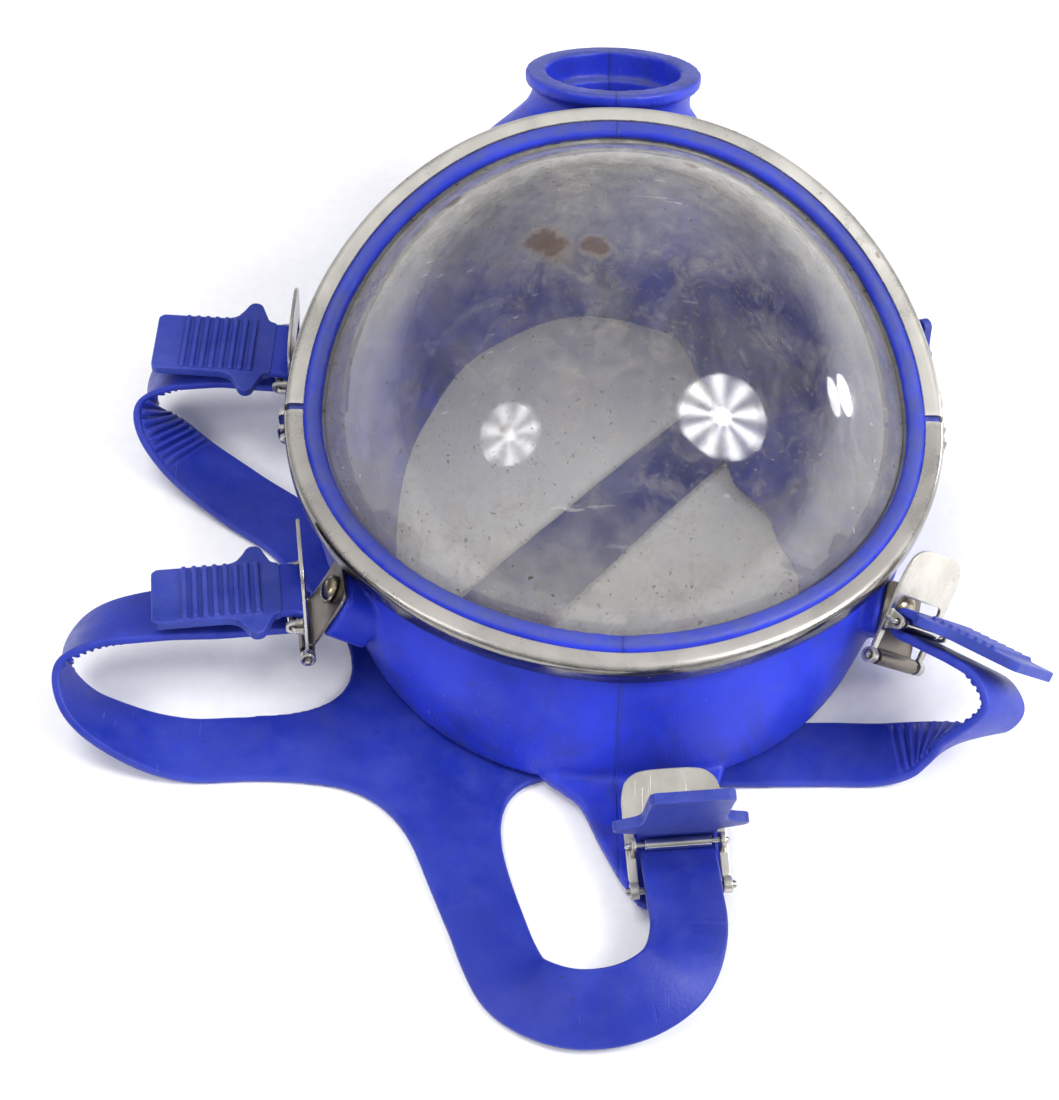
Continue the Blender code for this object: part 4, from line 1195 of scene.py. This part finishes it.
def build_strap(station):
    key = station.key
    free = STRAP_RUN[key]
    # foot of the strap, buried in the end of its hub arm
    (x0, y0), (x1, y1) = HUB_ARMS[key][-2:]
    way = Vector((x1 - x0, y1 - y0, 0.0)).normalized()
    side = Vector((-way.y, way.x, 0.0))
    side = side if side.dot(Vector(free[0][1])) > 0 else -side
    foot = [(Vector((x1, y1, z)) + way * along, side)
            for z, along in ((1.35, -16.0), (1.35, -8.0), (1.6, 6.0))]
    entry = inlet(station)
    path = with_frames(spline(foot + [(Vector(p), Vector(w)) for p, w in free] + entry, 0.55))
    path = relax(path, nearest(path, entry[1][0]), 16)
    # split where the buckle inlet starts
    cut = nearest(path, entry[0][0])
    loop, throat = path[:cut + 1], path[cut:]
    total = sum((b[0] - a[0]).length for a, b in zip(loop, loop[1:]))
    sign = loop_sign(loop)
    share = RIBS_FROM_TEMPLE_RIGHT if key == "temple_right" else RIBS_FROM
    node = "strap_arm_" + key
    strap_piece("strap_loop_" + key, node,
                strap_rings(loop, sign, ribs=(total * share, total - 2.0)),
                free[0][0], free[-1][0])
    lead_count = len(INLETS[station.mode][0])
    strap_piece("strap_throat_" + key, node, strap_rings(throat, sign),
                entry[0][0], entry[lead_count - 1][0])
    # tail joining the strap to the pull tab
    points, start, end = TAIL_BACK if station.mode == "back" else TAIL_STANDING
    tail = with_frames(spline([(station.lever(a, b), station.across) for a, b in points], 0.3))
    strap_piece("strap_tail_" + key, node, strap_rings(tail, sign, inset=0.03),
                station.lever(*start), station.lever(*end))


# ---------------------------------------------------------------- buckle parts
KNUCKLE_R, KNUCKLE_BORE = 2.1, 1.3
# Half outlines at -y; the other half is the mirror image
LEVER_HALF = [(1.7, -13.2), (24.0, -13.2), (28.4, -12.0), (30.8, -9.0), (31.3, -5.0)]
LEVER_TIP = (31.4, 0.0)
TAB_HALF = [
    (5.8, -9.8), (8.0, -10.2), (9.6, -14.0), (10.6, -16.6), (12.4, -17.5), (14.2, -16.8),
    (15.6, -14.0), (17.4, -11.4), (20.0, -10.6), (TAB_END - 1.5, -10.6), (TAB_END, -9.4)]
EAR_SECTION = [(-2.6, 0.1), (2.6, 0.1), (1.9, 4.2), (1.2, 5.3), (-1.2, 5.3), (-1.9, 4.2)]
# Turned pieces: (place along the axis, radius)
ROD = [
    (-14.25, 0.45), (-14.1, 0.8), (-13.7, 1.0), (-9.0, 1.0), (9.0, 1.0), (13.7, 1.0),
    (14.1, 0.8), (14.25, 0.45)]
ROLLER = [
    (-8.5, 1.02), (-8.5, 1.35), (-8.35, 1.5), (-4.0, 1.5), (4.0, 1.5), (8.35, 1.5), (8.5, 1.35),
    (8.5, 1.02)]
STUD_FOOT_FOREHEAD = [(-5.0, 2.9), (-4.9, 3.3), (-4.3, 3.4), (-4.2, 2.1)]
STUD_FOOT = [(-4.3, 1.9), (-4.2, 2.1)]
STUD_NECK = [(1.2, 2.1), (1.2, 3.7), (1.3, 3.95), (1.5, 4.0)]
# part, seat, material, seed, tint, roughness range, tarnish, film, carrying body,
# replaced piece, slot; {} takes the station's key
METAL_PARTS = [
    ("dome_stud_{}", "base", "stud brass {}", 60.0, (0.60, 0.52, 0.38), (0.16, 0.36),
     0.55, 0.12, "facepiece", "stud_{}", "stud_metal"),
    ("swivel_plate_{}", "base", "buckle plate {}", 70.0, (0.27, 0.235, 0.195), (0.20, 0.46),
     0.95, 0.06, "buckle_{}", "buckle_base_{}", "buckle_steel"),
    ("lever_frame_{}", "lever", "buckle lever {}", 80.0, (0.68, 0.65, 0.59), (0.16, 0.40),
     0.55, 0.45, "lever_{}", "lever_plate_{}", "buckle_steel"),
    ("pivot_rod_{}", "lever", "pivot rod {}", 90.0, (0.50, 0.47, 0.42), (0.14, 0.36),
     0.7, 0.05, "lever_{}", "hinge_rod_{}", "buckle_steel"),
    ("axle_wire_{}", "roller", "axle wire {}", 100.0, (0.66, 0.64, 0.60), (0.14, 0.34),
     0.45, 0.10, "lever_{}", "roller_wire_{}", "buckle_steel"),
    ("bar_roller_{}", "roller", "roller {}", 110.0, (0.78, 0.77, 0.74), (0.08, 0.26),
     0.25, 0.05, "rollerbody_{}", "roller_{}", "roller_steel")]


def base_model():
    outline = fillet(rectangle(-6.0, 14.0, -9.0, 9.0), 2.6, 8)
    plate = solid("base_model", prism(outline, 0.0, 0.9, LOCAL), flat=True)
    hinge = y_frame(HINGE_ALONG, HINGE_UP)
    boolean(plate, 'UNION', revolve([(-9.0, KNUCKLE_R), (9.0, KNUCKLE_R)], hinge, 40))
    boolean(plate, 'DIFFERENCE',
            revolve([(-10.0, KNUCKLE_BORE), (10.0, KNUCKLE_BORE)], hinge, 32))
    boolean(plate, 'DIFFERENCE', revolve([(-2.0, 2.5), (2.0, 2.5)], LOCAL, 32))
    tidy(plate)
    soften(plate, 0.2, 2)
    return plate


def lever_model():
    outline = fillet(LEVER_HALF + [LEVER_TIP] + mirrored(LEVER_HALF), 2.0, 4)
    lever = solid("lever_model", prism(outline, -0.5, 0.5, LOCAL), flat=True)
    window = fillet(rectangle(-5.0, 17.6, -10.7, 10.7), 2.0, 6)
    boolean(lever, 'DIFFERENCE', prism(window, -3.0, 3.0, LOCAL), flat=True)
    section = fillet(EAR_SECTION, 0.9, 4)
    for sign in (1, -1):
        eye = [(y, KNUCKLE_R) for y in sorted((sign * 10.8, sign * 13.1))]
        boolean(lever, 'UNION', revolve(eye, y_frame(), 40))
        ear = [[Vector((ROLLER_ALONG + x, y, z)) for x, z in section]
               for y in sorted((sign * 10.85, sign * 12.05))]
        boolean(lever, 'UNION', ear, flat=True)
    for placing, radius in ((y_frame(), KNUCKLE_BORE), (y_frame(ROLLER_ALONG, ROLLER_UP), 1.0)):
        boolean(lever, 'DIFFERENCE', revolve([(-16.0, radius), (16.0, radius)], placing, 32))
    tidy(lever)
    soften(lever, 0.2, 2)
    return lever


def tab_model():
    outline = fillet(TAB_HALF + mirrored(TAB_HALF), 1.2, 4)
    tab = solid("tab_model", prism(outline, -1.3, 1.5, LOCAL), flat=True)
    for i in range(8):
        x = 12.0 + 2.75 * i
        rib = [[Vector((x - 0.95, y, 1.2)), Vector((x - 0.55, y, 2.55)),
                Vector((x + 0.55, y, 2.55)), Vector((x + 0.95, y, 1.2))] for y in (-10.0, 10.0)]
        boolean(tab, 'UNION', rib, flat=True)
    tidy(tab)
    soften(tab, 0.28, 3)
    return tab


def wire_model():
    """Roller axle bent down at both ends."""
    half = [(12.95, -2.6), (12.95, -0.9)]
    half += [(12.05 + 0.9 * math.cos(a), -0.9 + 0.9 * math.sin(a))
             for a in map(math.radians, (18, 36, 54, 72, 90))]
    path = [Vector((0, y, z)) for y, z in [(-y, z) for y, z in half] + half[::-1]]

    def ring(centre, way, radius):
        side = way.cross(EX)
        return [centre + (EX * math.cos(a) + side * math.sin(a)) * radius for a in angles(20)]

    rings = [ring(point, tangent(path, i), 0.7) for i, point in enumerate(path)]
    start, end = tangent(path, 0), tangent(path, len(path) - 1)
    rings.insert(0, ring(path[0] - start * 0.35, start, 0.35))
    rings.append(ring(path[-1] + end * 0.35, end, 0.35))
    return solid("wire_model", rings, shade_angle=35.0)


def stud_model(foot):
    dome = [(1.5 + 2.2 * math.sin(a), 4.0 * math.cos(a))
            for a in map(math.radians, range(8, 89, 8))]
    return solid("stud_model", revolve(foot + STUD_NECK + dome, LOCAL, 48), shade_angle=35.0)


def place_copy(model, name, matrix, *fitting):
    mesh = model.data.copy()
    mesh.name = name
    mesh.transform(matrix)
    piece = bpy.data.objects.new(name, mesh)
    bpy.context.scene.collection.objects.link(piece)
    install(piece, *fitting)


def build_stations():
    models = {
        "swivel_plate_{}": base_model(),
        "lever_frame_{}": lever_model(),
        "tab": tab_model(),
        "axle_wire_{}": wire_model(),
        "pivot_rod_{}": solid("rod_model", revolve(ROD, y_frame(), 32), shade_angle=35.0),
        "bar_roller_{}": solid("roller_model", revolve(ROLLER, y_frame(), 40), wrap=True,
                               shade_angle=35.0),
    }
    forehead_stud, side_stud = stud_model(STUD_FOOT_FOREHEAD), stud_model(STUD_FOOT)
    used = list(models.values()) + [forehead_stud, side_stud]
    for number, station in enumerate(STATIONS):
        key = station.key
        seats = station.seats()
        models["dome_stud_{}"] = forehead_stud if station.mode == "front" else side_stud
        for (part, seat, label, seed, tint, rough, tarnish, film,
             body, node, slot) in METAL_PARTS:
            material = metal(label.format(key), seed + number, tint, rough, tarnish, film)
            place_copy(models[part], part.format(key), seats[seat], material,
                       body.format(key), node.format(key), slot)
        material = rubber("rubber tab " + key, seed=120.0 + 3 * number, dust=0.40,
                          deep=TAB_DEEP, lit=TAB_LIT)
        place_copy(models["tab"], "ribbed_tab_" + key, seats["tab"], material,
                   "tab_" + key, "pull_tab_" + key, "blue_rubber_tab")
        build_strap(station)
    for model in used:
        bpy.data.objects.remove(model, do_unlink=True)


# ---------------------------------------------------------------- studio, metres
BACKDROP = (0.93, 0.93, 0.935)
FLOOR_DARK, FLOOR_PALE = (0.86, 0.86, 0.865), (0.90, 0.90, 0.905)
SKY_LOW, SKY_MIDDLE, SKY_HIGH = (0.30, 0.31, 0.34, 1), (0.50, 0.51, 0.54, 1), (1.20, 1.21, 1.24, 1)
SKY_STRENGTH = 0.58
# Soft lights: name, place from the ring centre, diameter, watts, colour
SOFT_LIGHTS = [
    ("key", (-0.55, 0.25, 1.10), 0.70, 8.5, (1.0, 0.99, 0.97)),
    ("fill", (0.95, -0.15, 0.75), 0.60, 3.8, (0.96, 0.98, 1.0)),
    ("front", (-0.10, -1.15, 0.40), 0.60, 5.5, (1.0, 1.0, 1.0))]
# Lamps mirrored in the visor: sight line (right, up) to the reflection, width, height and
# watts at full distance, petals in the light's pattern
LAMPS = [
    (0.04214876, -0.01900826, 0.73, 0.45, 9.5, 9),
    (-0.04628099, -0.02520661, 0.44, 0.33, 2.2, 7),
    (0.09132231, -0.00867769, 0.09, 0.15, 0.9, None)]
LAMP_DISTANCE, LAMP_LOWEST = 0.95, 0.02
FAN_STRENGTH = 1.0


def area_light(name, at, rotation, size, watts, colour=(1, 1, 1), shape='DISK', glossy=False):
    light = bpy.data.lights.new(name, 'AREA')
    light.shape = shape
    light.size = size
    light.energy = watts
    light.color = colour
    lamp = bpy.data.objects.new(name, light)
    bpy.context.scene.collection.objects.link(lamp)
    lamp.location = at
    lamp.rotation_euler = rotation
    lamp.visible_camera = False
    lamp.visible_glossy = glossy
    return light


def fan_pattern(light, petals):
    """Gives the lamp a ring of petals, so that its reflection in the visor is a fan."""
    light.use_nodes = True
    g = Graph(light.node_tree)
    emission = g.find('EMISSION')
    split = g.add("SeparateXYZ", Vector=g.geometry("Parametric"))
    u = split - 0.5
    v = Signal(g, split.socket.node.outputs[1]) - 0.5
    bearing = g.math('ARCTAN2', v, u)
    wave = g.math('SINE', bearing * float(petals)) * 0.5 + 0.5
    radius = g.math('SQRT', u * u + v * v)
    core = g.math('LESS_THAN', radius, 0.10)
    pattern = wave ** 1.5 * 1.2 + 0.25 + core * 1.2
    g.put(emission.inputs["Strength"], pattern * FAN_STRENGTH)


def build_world():
    sky = bpy.data.worlds.new("studio")
    bpy.context.scene.world = sky
    sky.use_nodes = True
    g = Graph(sky.node_tree)
    background = g.find('BACKGROUND')
    height = g.add("SeparateXYZ", out="Z", Vector=g.add("TexCoord", out="Generated"))
    gradient = g.add("ValToRGB", Fac=height)
    stops = gradient.socket.node.color_ramp.elements
    stops[0].position, stops[0].color = 0.0, SKY_LOW
    stops[1].position, stops[1].color = 1.0, SKY_HIGH
    middle = stops.new(0.35)
    middle.color = SKY_MIDDLE
    g.put(background.inputs[0], gradient)
    background.inputs[1].default_value = SKY_STRENGTH
    # the backdrop itself is seen pale, without lighting the object any more
    seen = g.add("Background", Color=BACKDROP)
    surface = g.mix_shader(g.add("LightPath"), Signal(g, background.outputs[0]), seen)
    g.put(g.find('OUTPUT_WORLD').inputs["Surface"], surface)


def build_floor():
    build = bmesh.new()
    bmesh.ops.create_grid(build, x_segments=4, y_segments=4, size=2.5)
    floor = new_object("studio_floor", build)
    shade(floor)
    g = MaterialGraph("pale floor")
    grain = g.noise(g.coords(1.0), scale=300.0, detail=3.0)
    colour = g.mix(grain.ramp(over=(0.3, 0.7)), FLOOR_DARK, FLOOR_PALE)
    # seen by the camera, the far floor fades into the backdrop
    far = g.add("VectorMath", out=1, props={"operation": 'LENGTH'},
                _0=g.position).ramp(over=(0.35, 1.30))
    lit = g.add("BsdfPrincipled", Base_Color=colour, Roughness=0.75, Specular_IOR_Level=0.15)
    glow = g.add("Emission", Color=BACKDROP, Strength=1.0)
    floor.data.materials.append(g.done(g.mix_shader(far * g.add("LightPath"), lit, glow)))


def build_lights(visor):
    centre = world(RING_CENTRE)
    for name, offset, size, watts, colour in SOFT_LIGHTS:
        at = centre + Vector(offset)
        rotation = (centre - at).to_track_quat('-Z', 'Y').to_euler()
        area_light(name, at, rotation, size, watts, colour)
    for i, (right, up, width, height, watts, petals) in enumerate(LAMPS):
        ray = sight_line(right, up)
        hit, normal = visor.ray_cast(CAMERA_AT, ray)[:2]
        if hit is None:
            continue
        normal = normal if normal.dot(ray) < 0 else -normal
        # the lamp stands on the reflected ray, nearer where that would go under the floor
        out = ray - normal * (2 * ray.dot(normal))
        distance = LAMP_DISTANCE
        if out.z < -1e-3:
            distance = min(LAMP_DISTANCE, (hit.z - LAMP_LOWEST) / -out.z)
        near = distance / LAMP_DISTANCE
        at = hit + out * distance
        across = VIEW_RIGHT - normal * (2 * VIEW_RIGHT.dot(normal))
        z = (at - hit).normalized()
        x = (across - z * across.dot(z)).normalized()
        light = area_light("lamp_%d" % i, at, axes(x, z.cross(x), z).to_euler(), width * near,
                           watts * near * near, shape='ELLIPSE', glossy=True)
        light.size_y = height * near
        if petals:
            fan_pattern(light, petals)


def build_camera():
    settings = bpy.data.cameras.new("camera")
    camera = bpy.data.objects.new("camera", settings)
    bpy.context.scene.collection.objects.link(camera)
    settings.sensor_fit = 'AUTO'
    settings.sensor_width = 36.0
    settings.lens = LENS_MM
    settings.clip_start = 0.01
    z = -sight_line(*CAMERA_AIM)
    x = (VIEW_RIGHT - z * VIEW_RIGHT.dot(z)).normalized()
    camera.matrix_world = Matrix.Translation(CAMERA_AT) @ axes(x, z.cross(x), z).to_4x4()
    bpy.context.scene.camera = camera


def build_studio(visor):
    view = bpy.context.scene.view_settings
    view.view_transform = 'Standard'
    view.look = 'None'
    build_world()
    build_floor()
    build_lights(visor)
    build_camera()


HARNESS = rubber("rubber harness", seed=30.0, dust=0.28)
build_body()
VISOR_SURFACE = build_visor()
build_clamps()
build_hub()
build_stations()
build_studio(VISOR_SURFACE)
